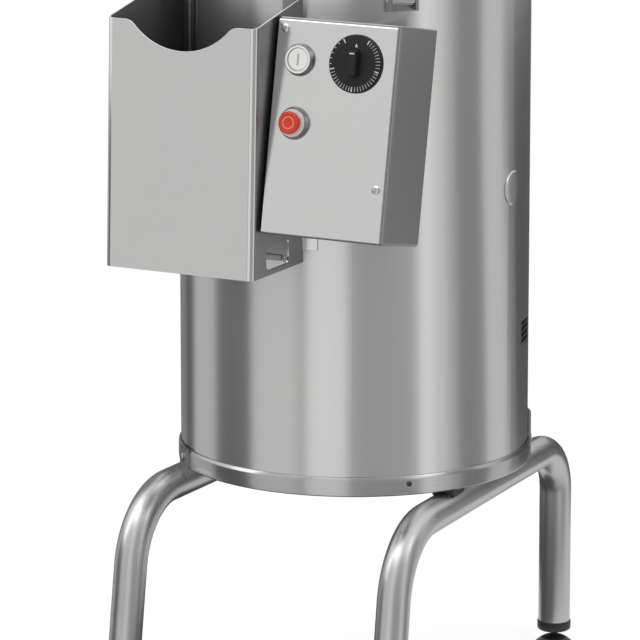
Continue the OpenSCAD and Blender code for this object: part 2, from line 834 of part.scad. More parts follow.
module motor_body() color("gray") at_motor() difference() {
  union() {
    translate([0, 0, motor_low]) cylinder(r = motor_d / 2 - 4, h = motor_len);
    for (a = [0:15:345]) rotate([0, 0, a])
      translate([0, -1.5, motor_low + motor_end]) cube([motor_d / 2, 3, motor_len - 2 * motor_end]);
  }
  translate([0, 0, motor_low - 1]) cylinder(r = motor_shaft_d / 2 + run_gap, h = motor_bore + 2);
}

module motor_plate() color(steel) at_motor() difference() {
  translate([0, 0, floor_z - motor_plate_t]) cylinder(r = motor_d / 2 + motor_plate_lip, h = motor_plate_t);
  translate([-pulley_pitch, 0, floor_z - motor_plate_t - 1])
    cylinder(r = housing_r + housing_flange + 1, h = motor_plate_t + 2);
}

// Lid, drawn with its latch at the front and turned to the latch's azimuth

module lid_frame() placed() at_azimuth(latch_az) children();

// Lays a shape that runs along its own z across the lid's frame, in the middle, at a place in y and z
module across(len, y, z) translate([-len / 2, y, z]) rotate([0, 90, 0]) children();

// Half outline of the lid's raised middle, inset by t
module lid_outline(t) {
  r = lid_r - lid_flange - t;
  top = lid_top - t;
  c = lid_corner - t;
  translate([0, lid_z]) square([r, top - lid_z - c]);
  translate([0, lid_z]) square([r - c, top - lid_z]);
  intersection() {
    translate([r - c, top - c]) circle(c);
    translate([0, lid_z]) square([r, top]);
  }
}

module lid_shell() color(steel) lid_frame() rotate_extrude() difference() {
  union() {
    lid_outline(0);
    translate([0, lid_z]) square([lid_r, lid_wall]);
  }
  translate([0, -eps]) lid_outline(lid_wall);
}

module lid_seal() color(black) lid_frame() ring(drum_r + rim_out - rim_w, drum_r, seal_z, lid_z);

module lid_handle() color(black) lid_frame() {
  for (side = [-1, 1])
    translate([side * (handle_len / 2 - handle_d), 0, lid_top]) cylinder(r = handle_d / 2 - 2, h = handle_up);
  across(handle_len, 0, lid_top + handle_up) cylinder(r = handle_d / 2, h = handle_len);
}

module lid_hinge_arm() color(steel) lid_frame() difference() {
  union() {
    across(knuckle_len, hinge_y, hinge_z) cylinder(r = knuckle_d / 2, h = knuckle_len);
    translate([-knuckle_len / 2, lid_r - lid_flange + 1, lid_z + lid_wall])
      cube([knuckle_len, hinge_y - lid_r + lid_flange - 1, 5]);
  }
  across(2 * knuckle_len, hinge_y, hinge_z) cylinder(r = hinge_pin_d / 2 + run_gap, h = 2 * knuckle_len);
}

module hinge_bracket() color(steel) lid_frame() difference() {
  near = knuckle_len / 2 + ear_gap;
  low = drum_top - hinge_drop;
  plate_high = rim_top - rim_h - 1;
  side = hinge_half_deg;
  union() {
    sector(drum_r, drum_r + hinge_plate_t, low - hinge_foot, plate_high, 180 - side, 180 + side);
    difference() {
      for (x = [near, -near - ear_t]) {
        translate([x, drum_r - 2, low]) cube([ear_t, hinge_y - drum_r + ear_top + 2, plate_high - low]);
        translate([x, drum_r + rim_out + 2, low])
          cube([ear_t, hinge_y - drum_r - rim_out + ear_top - 2, hinge_z + ear_top - low]);
      }
      translate([0, 0, low - hinge_foot]) cylinder(r = drum_r + 1, h = 2 * hinge_drop);
    }
  }
  across(2 * knuckle_len, hinge_y, hinge_z) cylinder(r = hinge_pin_d / 2, h = 2 * knuckle_len);
}

module hinge_pin() color("lightgray") lid_frame() {
  len = knuckle_len + 2 * (ear_gap + ear_t) + 2;
  across(len, hinge_y, hinge_z) {
    cylinder(r = hinge_pin_d / 2, h = len);
    for (z = [-2, len]) translate([0, 0, z]) cylinder(r = hinge_pin_d / 2 + 2, h = 2);
  }
}

module latch_base() color(steel) lid_frame() difference() {
  union() {
    sector(drum_r, drum_r + 2, latch_low - 2, rim_top - rim_h - 1, -5, 5);
    difference() {
      for (x = [-latch_w / 2 - 3.5, latch_w / 2 + 0.5])
        translate([x, -latch_y - 5, latch_low]) cube([3, latch_y + 8 - drum_r, 20]);
      translate([0, 0, latch_low - 5]) cylinder(r = drum_r + 1, h = 30);
    }
  }
  across(2 * latch_w, -latch_y, latch_pin_z) cylinder(r = latch_pin_r, h = 2 * latch_w);
}

module latch_pin() color("lightgray") lid_frame() {
  len = latch_w + 8;
  across(len, -latch_y, latch_pin_z) cylinder(r = latch_pin_r, h = len);
}

module latch_lever() color(steel) lid_frame() difference() {
  union() {
    across(latch_w, -latch_y, latch_pin_z) cylinder(r = latch_t, h = latch_w);
    translate([-latch_w / 2, -latch_y - latch_t, latch_pin_z])
      cube([latch_w, latch_t, hook_z + latch_t - latch_pin_z]);
    translate([-latch_w / 2, -latch_y - eps, hook_z]) cube([latch_w, hook_reach, latch_t]);
  }
  across(2 * latch_w, -latch_y, latch_pin_z) cylinder(r = latch_pin_r + run_gap, h = 2 * latch_w);
}

// Chute

// Side outline of the chute in Y and Z, set in from its sheet by inset and run on past both ends by over
module chute_side(inset, over) {
  lean = chute_lean / (chute_high - chute_low) * over;
  polygon([
    [-chute_front + inset - lean, chute_low - over], [-chute_high_y + inset + lean, chute_high + over],
    [0, chute_high + chute_high_y * tan(chute_slope) + over], [0, chute_low - over]
  ]);
}

// Fixing flange along the drum beside a side wall at x
module chute_tab(x) {
  a = asin(x / drum_r);
  w = asin(tab_w / drum_r);
  a0 = x < 0 ? a - w : a - 0.3;
  sector(drum_r, drum_r + chute_wall, tab_low, tab_high(x), a0, a0 + w + 0.3);
}

// Outline of the scallop, below and above the front wall's top edge at y = 0
module scallop() difference() {
  half = scallop_w / 2;
  reach = scallop_r / scallop_span - 0.01;
  foot_y = -scallop_h + scallop_r;
  turn_y = foot_y + (-shoulder_r - foot_y) * reach;
  union() {
    translate([0, foot_y]) circle(scallop_r);
    polygon([[-half, 0], [-half * reach, turn_y], [half * reach, turn_y], [half, 0], [half, 9], [-half, 9]]);
  }
  for (side = [-1, 1]) translate([side * half, -shoulder_r]) circle(shoulder_r + 0.05);
}

module chute_box() color(steel) placed() {
  chute_w = chute_left + chute_right;
  difference() {
    union() {
      difference() {
        in_side_plane(-chute_left) linear_extrude(chute_w) chute_side(0, 0);
        in_side_plane(-chute_left + chute_wall)
          linear_extrude(chute_w - 2 * chute_wall) chute_side(chute_wall, 20);
      }
      for (x = [-chute_left, chute_right]) chute_tab(x);
    }
    translate([0, 0, chute_low - 5]) cylinder(r = drum_r, h = chute_high - chute_low + chute_front);
    // Scallop in the front wall
    translate([(chute_right - chute_left) / 2, -chute_front + 30, chute_high])
      rotate([90, 0, 0]) linear_extrude(40) scallop();
    // Window low in the right wall
    translate([chute_right - 10, -chute_front + chute_wall + window_in, chute_low + window_up])
      rotate([90, 0, 90]) linear_extrude(20) round_rect(window_w, window_h, window_r);
  }
}

module chute_bolt(x, z) {
  turn = x < 0 ? -3 : 3;
  radial(asin(x / drum_r) + turn, z, drum_r + chute_wall) cylinder(r = 4.5, h = 3.5, $fn = 6);
}

module chute_bolts() color("lightgray") placed() {
  for (z = [tab_low + bolt_in, tab_high(-1) - bolt_in]) chute_bolt(-chute_left, z);
  chute_bolt(chute_right, (tab_low + tab_high(1)) / 2);
}

// One grooved guide on the left of the door's middle
module door_guide() {
  far = door_half + side_gap_deg + guide_deg;
  lip = door_half - door_lap;
  difference() {
    sector(drum_r, guide_out, door_low - 6, guide_high, -far, -lip);
    sector(
      drum_r - 1, door_out + door_gap, door_low - 7, guide_high + 1, -door_half - side_gap_deg, -lip + 1
    );
  }
}

module door_guides() color(steel) placed() at_azimuth(port_mid) {
  door_guide();
  mirror([1, 0, 0]) door_guide();
  // Stop under the door
  stop = door_half - door_lap - 1;
  sector(drum_r, door_out, door_low - 6, door_low - 0.3, -stop, stop);
}

module door_panel() color(steel) placed()
  sector(door_in, door_out, door_low, door_high, port_mid - door_half, port_mid + door_half);

module door_knob() color(black) placed() difference() {
  radial(port_mid, knob_z, drum_r) {
    cylinder(r = knob_d / 4, h = door_t + knob_neck);
    translate([0, 0, door_t + knob_neck - 2]) cylinder(r = knob_d / 2, h = 10);
  }
  ring(drum_r - 30, door_out, knob_z - knob_d, knob_z + knob_d);
}

// Control box: local x runs along the panel, local z up the panel and local y into the box

module panel_frame() placed() translate([box_left, -box_front, box_low]) rotate([-box_tilt, 0, 0]) children();

// A place on the panel, with z standing out of its face
module on_panel(s, t) panel_frame() translate([s, 0, t]) rotate([90, 0, 0]) children();

module drum_space() placed() translate([0, 0, frame_top]) cylinder(r = drum_r, h = drum_top - frame_top);

module control_box() color(steel) difference() {
  panel_frame() difference() {
    linear_extrude(box_h) round_rect(box_w, box_depth, box_r);
    translate([box_wall, box_wall, box_wall])
      linear_extrude(box_h - 2 * box_wall)
        round_rect(box_w - 2 * box_wall, box_depth - 2 * box_wall, box_r - box_wall);
    // Opening under the panel
    translate([box_r, -1, box_r]) cube([box_w - 2 * box_r, box_wall + 2, box_h - 2 * box_r]);
  }
  for (p = panel_screw_places())
    on_panel(p[0], p[1]) translate([0, 0, -box_wall - 5])
      cylinder(r = screw_r + screw_gap, h = box_wall + 10);
  drum_space();
}

module control_panel() color("gainsboro") difference() {
  edge = box_r - panel_lap;
  panel_frame() translate([edge, -panel_t, edge]) cube([box_w - 2 * edge, panel_t, box_h - 2 * edge]);
  for (t = [start_t, stop_t])
    on_panel(button_s, t) translate([0, 0, -5]) cylinder(r = sleeve_r + sleeve_t, h = 20);
  on_panel(timer_s, timer_t) translate([0, 0, -5]) cylinder(r = timer_shaft_r + 2, h = 20);
  for (p = panel_screw_places()) on_panel(p[0], p[1]) translate([0, 0, -5]) cylinder(r = screw_r, h = 20);
}

// Screws near the panel's upper left corner and its lower right side
function panel_screw_places() = [[screw_in_s, box_h - screw_down], [box_w - screw_in_s, box_h / 4]];

module panel_screws() color("lightgray") for (p = panel_screw_places()) on_panel(p[0], p[1]) {
  translate([0, 0, -6]) cylinder(r = screw_r, h = panel_t + 6);
  translate([0, 0, panel_t]) cylinder(r = screw_head_r, h = 2);
}

module box_bracket() color(steel) difference() {
  placed() translate([box_left + box_w / 2 - bracket_w / 2, -box_front, box_low + box_h / 2 - bracket_h / 2])
    cube([bracket_w, box_front - 40, bracket_h]);
  drum_space();
  panel_frame() translate([-box_w, -box_depth, -box_h]) cube([3 * box_w, 2 * box_depth, 3 * box_h]);
}

module button_bezel() {
  ring(sleeve_r, sleeve_r + sleeve_t, -sleeve_len, panel_t + eps);
  ring(sleeve_r, bezel_d / 2, panel_t, panel_t + bezel_h);
  // Contact block behind the sleeve
  translate([-14, -14, -sleeve_len - 20]) cube([28, 28, 20]);
}

module start_bezel() color("lightgray") on_panel(button_s, start_t) button_bezel();
module stop_bezel() color("lightgray") on_panel(button_s, stop_t) button_bezel();

module start_button() color("white") on_panel(button_s, start_t)
  translate([0, 0, panel_t - 12]) cylinder(r = cap_d / 2, h = 12 + bezel_h - 0.5);

module stop_button() color("firebrick") on_panel(button_s, stop_t)
  translate([0, 0, panel_t - 12]) cylinder(r = cap_d / 2, h = 12 + stop_lift + stop_cap_h);

module timer_dial() color(black) on_panel(timer_s, timer_t) translate([0, 0, panel_t + dial_gap]) {
  cylinder(r = dial_d / 2, h = dial_t);
  translate([-grip_w / 2, -grip_len / 2, dial_t - eps]) cube([grip_w, grip_len, grip_h]);
  translate([0, 0, -timer_len / 2]) cylinder(r = timer_shaft_r, h = timer_len / 2 + eps);
}

// Clockwork behind the dial, against the back of the panel
module timer_body() color("dimgray") on_panel(timer_s, timer_t) difference() {
  translate([-timer_size / 2, -timer_size / 2, -timer_len]) cube([timer_size, timer_size, timer_len]);
  translate([0, 0, -timer_len * 0.7]) cylinder(r = timer_shaft_r + run_gap, h = timer_len);
}

// Switch for the motor, on the back wall of the box
module contactor() color("dimgray") panel_frame()
  translate([box_w / 2, box_depth - box_wall - contactor_d, box_wall + 8])
    cube([contactor_w, contactor_d, contactor_h]);

right_leg_tube();
left_leg_tube();
cross_tube();
rail_plug();
rail_saddles();
rail_lugs();
lug_bolts();
leg_caps();
foot_left();
foot_right();
foot_rear();
base_ring();
ring_screws();
bottom_cover();
drum_shell();
top_rim();
side_plug();
vent_grille();
cable_gland();
drain_spout();
water_inlet();
chamber_floor();
chamber_liner();
bearing_housing();
bearings();
shaft_seal();
drive_shaft();
peeling_plate();
plate_nut();
driven_pulley();
drive_belt();
motor_pulley();
motor_shaft();
motor_body();
motor_plate();
lid_shell();
lid_seal();
lid_handle();
lid_hinge_arm();
hinge_bracket();
hinge_pin();
latch_base();
latch_pin();
latch_lever();
chute_box();
chute_bolts();
door_guides();
door_panel();
door_knob();
control_box();
control_panel();
panel_screws();
box_bracket();
start_bezel();
stop_bezel();
start_button();
stop_button();
timer_dial();
timer_body();
contactor();
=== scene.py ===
"""A garlic peeling machine: a stainless drum on a bent tube stand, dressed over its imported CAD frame."""

import json
import logging
from contextlib import contextmanager
from dataclasses import dataclass
from enum import Enum
from math import asin, atan2, cos, degrees, pi, radians, sin, tan
from typing import Callable, Iterator, Optional, Sequence

import bmesh
import bpy
from mathutils import Matrix, Vector

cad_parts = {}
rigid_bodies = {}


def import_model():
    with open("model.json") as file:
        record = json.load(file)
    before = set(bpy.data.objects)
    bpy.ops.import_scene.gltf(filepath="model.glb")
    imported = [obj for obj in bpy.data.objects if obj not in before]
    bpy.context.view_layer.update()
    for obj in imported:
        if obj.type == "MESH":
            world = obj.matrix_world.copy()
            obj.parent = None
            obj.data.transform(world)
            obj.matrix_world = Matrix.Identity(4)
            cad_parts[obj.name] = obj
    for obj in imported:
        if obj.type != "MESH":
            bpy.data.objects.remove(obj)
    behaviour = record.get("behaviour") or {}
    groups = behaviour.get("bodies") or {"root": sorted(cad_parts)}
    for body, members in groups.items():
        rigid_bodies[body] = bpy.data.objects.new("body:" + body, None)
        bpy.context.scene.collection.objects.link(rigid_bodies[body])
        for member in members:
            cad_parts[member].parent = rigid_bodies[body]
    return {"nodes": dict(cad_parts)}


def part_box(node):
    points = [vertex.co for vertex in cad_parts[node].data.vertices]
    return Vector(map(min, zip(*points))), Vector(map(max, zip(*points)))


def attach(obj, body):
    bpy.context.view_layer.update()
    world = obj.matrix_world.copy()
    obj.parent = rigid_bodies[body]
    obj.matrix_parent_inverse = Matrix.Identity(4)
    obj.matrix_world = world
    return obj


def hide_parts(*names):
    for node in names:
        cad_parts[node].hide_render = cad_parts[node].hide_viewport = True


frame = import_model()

LOG = logging.getLogger("garlic_peeler")
MM = 0.001
MERGE = 0.001  # Points closer than this many mm become one
ARC_STEP = 1.5  # Degrees of one facet of a bent strip
CREASE = 35.0  # Degrees past which an edge of a shape is sharp
WIDE_CREASE = 50.0  # The same on rounded edges and coarser curves
Piece = bpy.types.Object
Outline = Sequence[tuple[float, float]]
Test = Callable[[Vector, Vector], bool]

for left_over in [o for o in bpy.data.objects if o.name in ("Cube", "Light", "Camera")]:
    bpy.data.objects.remove(left_over)
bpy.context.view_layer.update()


# Modelling by hand: every shape is made in millimetres in a frame of its own and then set in its place


def only(obj: Piece) -> None:
    """Leaves one object selected and active.

    Args:
        obj: The object to leave.
    """
    bpy.ops.object.select_all(action="DESELECT")
    obj.select_set(True)
    bpy.context.view_layer.objects.active = obj


@contextmanager
def editing(obj: Piece) -> Iterator[None]:
    """Opens an object in edit mode with all of it selected, and closes it again.

    Args:
        obj: The mesh object to shape.
    """
    only(obj)
    bpy.ops.object.mode_set(mode="EDIT")
    bpy.ops.mesh.select_mode(type="VERT")
    bpy.ops.mesh.select_all(action="SELECT")
    yield
    bpy.ops.object.mode_set(mode="OBJECT")


def pick_edges(obj: Piece, test: Test) -> None:
    """Selects, in edit mode, the edges whose middle and direction pass a test.

    Args:
        obj: The mesh object in edit mode.
        test: Takes an edge's middle and its direction.
    """
    bpy.ops.mesh.select_mode(type="EDGE")
    bpy.ops.mesh.select_all(action="DESELECT")
    mesh = bmesh.from_edit_mesh(obj.data)
    for edge in mesh.edges:
        a, b = (v.co for v in edge.verts)
        if test((a + b) / 2, (b - a).normalized()):
            edge.select_set(True)
    bmesh.update_edit_mesh(obj.data)


def pick_faces(obj: Piece, test: Test) -> None:
    """Selects, in edit mode, the faces whose middle and normal pass a test.

    Args:
        obj: The mesh object in edit mode.
        test: Takes a face's middle and its normal.
    """
    bpy.ops.mesh.select_mode(type="FACE")
    bpy.ops.mesh.select_all(action="DESELECT")
    mesh = bmesh.from_edit_mesh(obj.data)
    for face in mesh.faces:
        if test(face.calc_center_median(), face.normal):
            face.select_set(True)
    bmesh.update_edit_mesh(obj.data)


def smooth(obj: Piece, angle: float = CREASE) -> Piece:
    """Shades an object smooth up to an angle.

    Args:
        obj: The object to shade.
        angle: Edges sharper than this many degrees stay sharp.

    Returns:
        The same object.
    """
    only(obj)
    bpy.ops.object.shade_smooth_by_angle(angle=radians(angle))
    return obj


def finish_with(obj: Piece, kind: str, **settings: object) -> Piece:
    """Adds a modifier and applies it.

    Args:
        obj: The object to modify.
        kind: The modifier's type.
        settings: The modifier's own settings.

    Returns:
        The same object.
    """
    modifier = obj.modifiers.new("shape", kind)
    for key, value in settings.items():
        setattr(modifier, key, value)
    only(obj)
    bpy.ops.object.modifier_apply(modifier=modifier.name)
    return obj


def eased_edges(obj: Piece, width: float, steps: int = 2, angle: float = CREASE) -> Piece:
    """Rounds every sharp edge of an object.

    Args:
        obj: The object to round.
        width: How far the rounding reaches from the edge.
        steps: Facets across the rounding.
        angle: Edges sharper than this many degrees are rounded.

    Returns:
        The same object, shaded smooth.
    """
    finish_with(obj, "BEVEL", width=width, segments=steps, limit_method="ANGLE", angle_limit=radians(angle))
    smooth(obj, WIDE_CREASE)
    return finish_with(obj, "WEIGHTED_NORMAL", keep_sharp=True)


def eased(outline: Outline, reach: float, steps: int = 4) -> list[tuple[float, float]]:
    """Rounds the corners between the ends of an outline.

    Args:
        outline: Points of the outline.
        reach: How far from a corner its curve starts.
        steps: Points on each curve.

    Returns:
        The outline with a curve at each inner corner.
    """
    points = [Vector(p) for p in outline]
    result = [points[0]]
    for before, corner, after in zip(points, points[1:], points[2:]):
        start = corner + (before - corner).normalized() * min(reach, (before - corner).length * 0.49)
        end = corner + (after - corner).normalized() * min(reach, (after - corner).length * 0.49)
        for k in range(steps + 1):
            t = k / steps
            result.append(start * (1 - t) ** 2 + corner * 2 * t * (1 - t) + end * t * t)
    result.append(points[-1])
    return [tuple(p) for p in result]


def start_point(at: Vector) -> Piece:
    """Makes an object of a single vertex, from a plane merged to its middle.

    Args:
        at: Where the vertex is.

    Returns:
        The new object.
    """
    bpy.ops.object.select_all(action="DESELECT")
    bpy.ops.mesh.primitive_plane_add(size=1)
    obj = bpy.context.object
    with editing(obj):
        bpy.ops.mesh.merge(type="CENTER")
        bpy.ops.transform.translate(value=at)
    return obj


def trace(points: Sequence[Vector], closed: bool) -> None:
    """Draws edges on from the selected vertex, in edit mode, and selects all of them.

    Args:
        points: The outline, from the selected vertex on.
        closed: Whether the last point joins the first.
    """
    run = [*points, points[0]] if closed else list(points)
    for a, b in zip(run, run[1:]):
        bpy.ops.mesh.extrude_region_move(TRANSFORM_OT_translate={"value": b - a})
    bpy.ops.mesh.select_all(action="SELECT")
    bpy.ops.mesh.remove_doubles(threshold=MERGE)


@contextmanager
def outlined(points: Sequence[Vector], closed: bool) -> Iterator[Piece]:
    """Draws an outline, holds it in edit mode to be raised, and then turns its faces outwards.

    Args:
        points: The points of the outline.
        closed: Whether the last point joins the first.

    Yields:
        The object that the outline is drawn in.
    """
    obj = start_point(points[0])
    with editing(obj):
        trace(points, closed)
        yield obj
        bpy.ops.mesh.select_all(action="SELECT")
        bpy.ops.mesh.remove_doubles(threshold=MERGE)
        bpy.ops.mesh.normals_make_consistent(inside=False)


def spun(outline: Outline, steps: int = 64, closed: bool = False) -> Piece:
    """Turns an outline about the z axis.

    Args:
        outline: Radius and height of each point.
        steps: Facets around.
        closed: Whether the outline joins up away from the axis.

    Returns:
        The turned solid.
    """
    with outlined([Vector((r, 0, z)) for r, z in outline], closed) as obj:
        bpy.ops.mesh.spin(steps=steps, angle=2 * pi, center=(0, 0, 0), axis=(0, 0, 1))
    return smooth(obj)


def next_row(obj: Piece, row: Sequence[Vector]) -> None:
    """Extrudes the last row of a strip and moves its points to their places.

    Args:
        obj: The strip, whose last points are its last row.
        row: The places of the new row.
    """
    count = len(row)
    with editing(obj):
        bpy.ops.mesh.select_all(action="DESELECT")
        mesh = bmesh.from_edit_mesh(obj.data)
        mesh.verts.ensure_lookup_table()
        for vert in mesh.verts[-count:]:
            vert.select_set(True)
        mesh.select_flush(True)
        bmesh.update_edit_mesh(obj.data)
        bpy.ops.mesh.extrude_region_move(TRANSFORM_OT_translate={"value": (0, 0, 0)})
    for vert, at in zip(obj.data.vertices[-count:], row):
        vert.co = at


def sheet_through(*rows: Sequence[Vector]) -> Piece:
    """Draws an open sheet through rows of points.

    Args:
        rows: The rows, all with the same count of points.

    Returns:
        The sheet.
    """
    obj = start_point(rows[0][0])
    with editing(obj):
        trace(rows[0], False)
    for row in rows[1:]:
        next_row(obj, row)
    return obj


def arc_plate(inner: float, outer: float, low: float, high: float, start: float, end: float) -> Piece:
    """Bends a strip of sheet about the z axis.

    Args:
        inner: Its inner radius.
        outer: Its outer radius.
        low: Height of its lower edge.
        high: Height of its upper edge.
        start: Azimuth of its first end in degrees, from the front to the right.
        end: Azimuth of its other end.

    Returns:
        The closed strip.
    """
    corners = [Vector((0, -r, z)) for r, z in ((inner, low), (outer, low), (outer, high), (inner, high))]
    turn = end - start
    with outlined(corners, True) as obj:
        bpy.ops.mesh.spin(steps=max(3, int(turn / ARC_STEP)), angle=-radians(turn), center=(0, 0, 0), axis=(0, 0, 1))
        bpy.ops.mesh.select_all(action="SELECT")
        bpy.ops.mesh.fill_holes(sides=0)
    return placed(obj, Matrix.Rotation(radians(start), 4, "Z"))


def slab(outline: Outline, low: float, high: float) -> Piece:
    """Fills an outline in x and y and raises it.

    Args:
        outline: The corners of the outline.
        low: Height of its underside.
        high: Height of its top.

    Returns:
        The plate.
    """
    with outlined([Vector((x, y, low)) for x, y in outline], True) as obj:
        bpy.ops.mesh.edge_face_add()
        bpy.ops.mesh.extrude_region_move(TRANSFORM_OT_translate={"value": (0, 0, high - low)})
    return obj


def block(size: Sequence[float], centre: Sequence[float]) -> Piece:
    """Adds a cuboid to be shaped further.

    Args:
        size: Its length in x, y and z.
        centre: Its middle.

    Returns:
        The cuboid, with its size and place in its mesh.
    """
    bpy.ops.object.select_all(action="DESELECT")
    bpy.ops.mesh.primitive_cube_add(size=1)
    obj = bpy.context.object
    with editing(obj):
        bpy.ops.transform.resize(value=size)
        bpy.ops.transform.translate(value=centre)
    return obj


def hexagon(across: float, low: float, high: float, chamfer: float) -> Piece:
    """Makes a hexagon head with its corners turned off.

    Args:
        across: Distance between flats.
        low: Height of its underside.
        high: Height of its top.
        chamfer: Height of the turned chamfer.

    Returns:
        The head.
    """
    corner = across / 2 / cos(pi / 6)
    obj = slab([(corner * cos(k * pi / 3), corner * sin(k * pi / 3)) for k in range(6)], low, high)
    turned = spun([(0, low - 1), (corner + 1, low - 1), (corner + 1, high - chamfer), (across / 2 - 0.3, high),
                   (0, high)], 48)
    finish_with(obj, "BOOLEAN", operation="INTERSECT", object=turned)
    bpy.data.objects.remove(turned)
    return smooth(obj, 20)


def carved(obj: Piece, *cutters: Piece) -> Piece:
    """Cuts other objects out of an object and throws them away.

    Args:
        obj: The object to cut.
        cutters: What is cut out of it.

    Returns:
        The cut object.
    """
    for cutter in cutters:
        finish_with(obj, "BOOLEAN", operation="DIFFERENCE", object=cutter)
        bpy.data.objects.remove(cutter)
    return smooth(obj)


def joined(first: Piece, *others: Piece) -> Piece:
    """Joins objects into the first one.

    Args:
        first: The object that stays.
        others: What is joined to it.

    Returns:
        The first object.
    """
    only(first)
    for obj in others:
        obj.select_set(True)
    bpy.ops.object.join()
    return first


def copy_of(obj: Piece) -> Piece:
    """Copies an object with a mesh of its own.

    Args:
        obj: The object to copy.

    Returns:
        The copy.
    """
    only(obj)
    bpy.ops.object.duplicate(linked=False)
    return bpy.context.object


def placed(obj: Piece, place: Matrix, scale: float = 1.0) -> Piece:
    """Moves an object's mesh to a place.

    Args:
        obj: The object, at the origin.
        place: Where its own frame goes.
        scale: Its size there.

    Returns:
        The same object, with its place in its mesh.
    """
    only(obj)
    obj.matrix_world = Matrix.Scale(scale, 4) @ place
    bpy.ops.object.transform_apply(location=True, rotation=True, scale=True)
    return obj


def copies(obj: Piece, places: Sequence[Matrix], scale: float = MM) -> list[Piece]:
    """Sets a copy of a shape in each place.

    Args:
        obj: The shape, which is thrown away after the last copy.
        places: Where the copies go.
        scale: Their size there.

    Returns:
        The copies.
    """
    made = [placed(copy_of(obj), at, scale) for at in places]
    bpy.data.objects.remove(obj)
    return made


# Finishes


class Slot(Enum):
    """The record's material slots."""

    SATIN = "satin_steel"
    BRIGHT = "bright_steel"
    BLACK = "black_plastic"
    RUBBER = "black_rubber"
    GREY = "grey_plastic"
    WHITE = "white_plastic"
    RED = "red_plastic"
    CAST = "cast_metal"
    BRASS = "brass_fitting"
    GRIT = "abrasive"


class Grain(Enum):
    """Which way the marks of making run on a surface."""

    LEVEL = "long level streaks"
    RINGS = "rings about the drum's axis"
    EVEN = "the same every way"
    GRITTY = "bonded grains"


def linear(colour: str) -> tuple[float, float, float, float]:
    """Turns an sRGB hex colour to linear.

    Args:
        colour: Such as "#A0A0A0".

    Returns:
        Linear red, green, blue and an alpha of 1.
    """
    parts = [int(colour[i:i + 2], 16) / 255 for i in (1, 3, 5)]
    return (*[c / 12.92 if c <= 0.04045 else ((c + 0.055) / 1.055) ** 2.4 for c in parts], 1.0)


def add_node(tree: bpy.types.NodeTree, kind: str, inputs: Optional[dict] = None, links: Optional[dict] = None,
             **settings: object) -> bpy.types.Node:
    """Adds a node with its settings and links.

    Args:
        tree: The node tree.
        kind: The node's type.
        inputs: Values by socket.
        links: Output sockets of other nodes, by socket.
        settings: The node's own settings.

    Returns:
        The new node.
    """
    node = tree.nodes.new(kind)
    for key, value in settings.items():
        setattr(node, key, value)
    for key, value in (inputs or {}).items():
        node.inputs[key].default_value = value
    for key, source in (links or {}).items():
        tree.links.new(source, node.inputs[key])
    return node


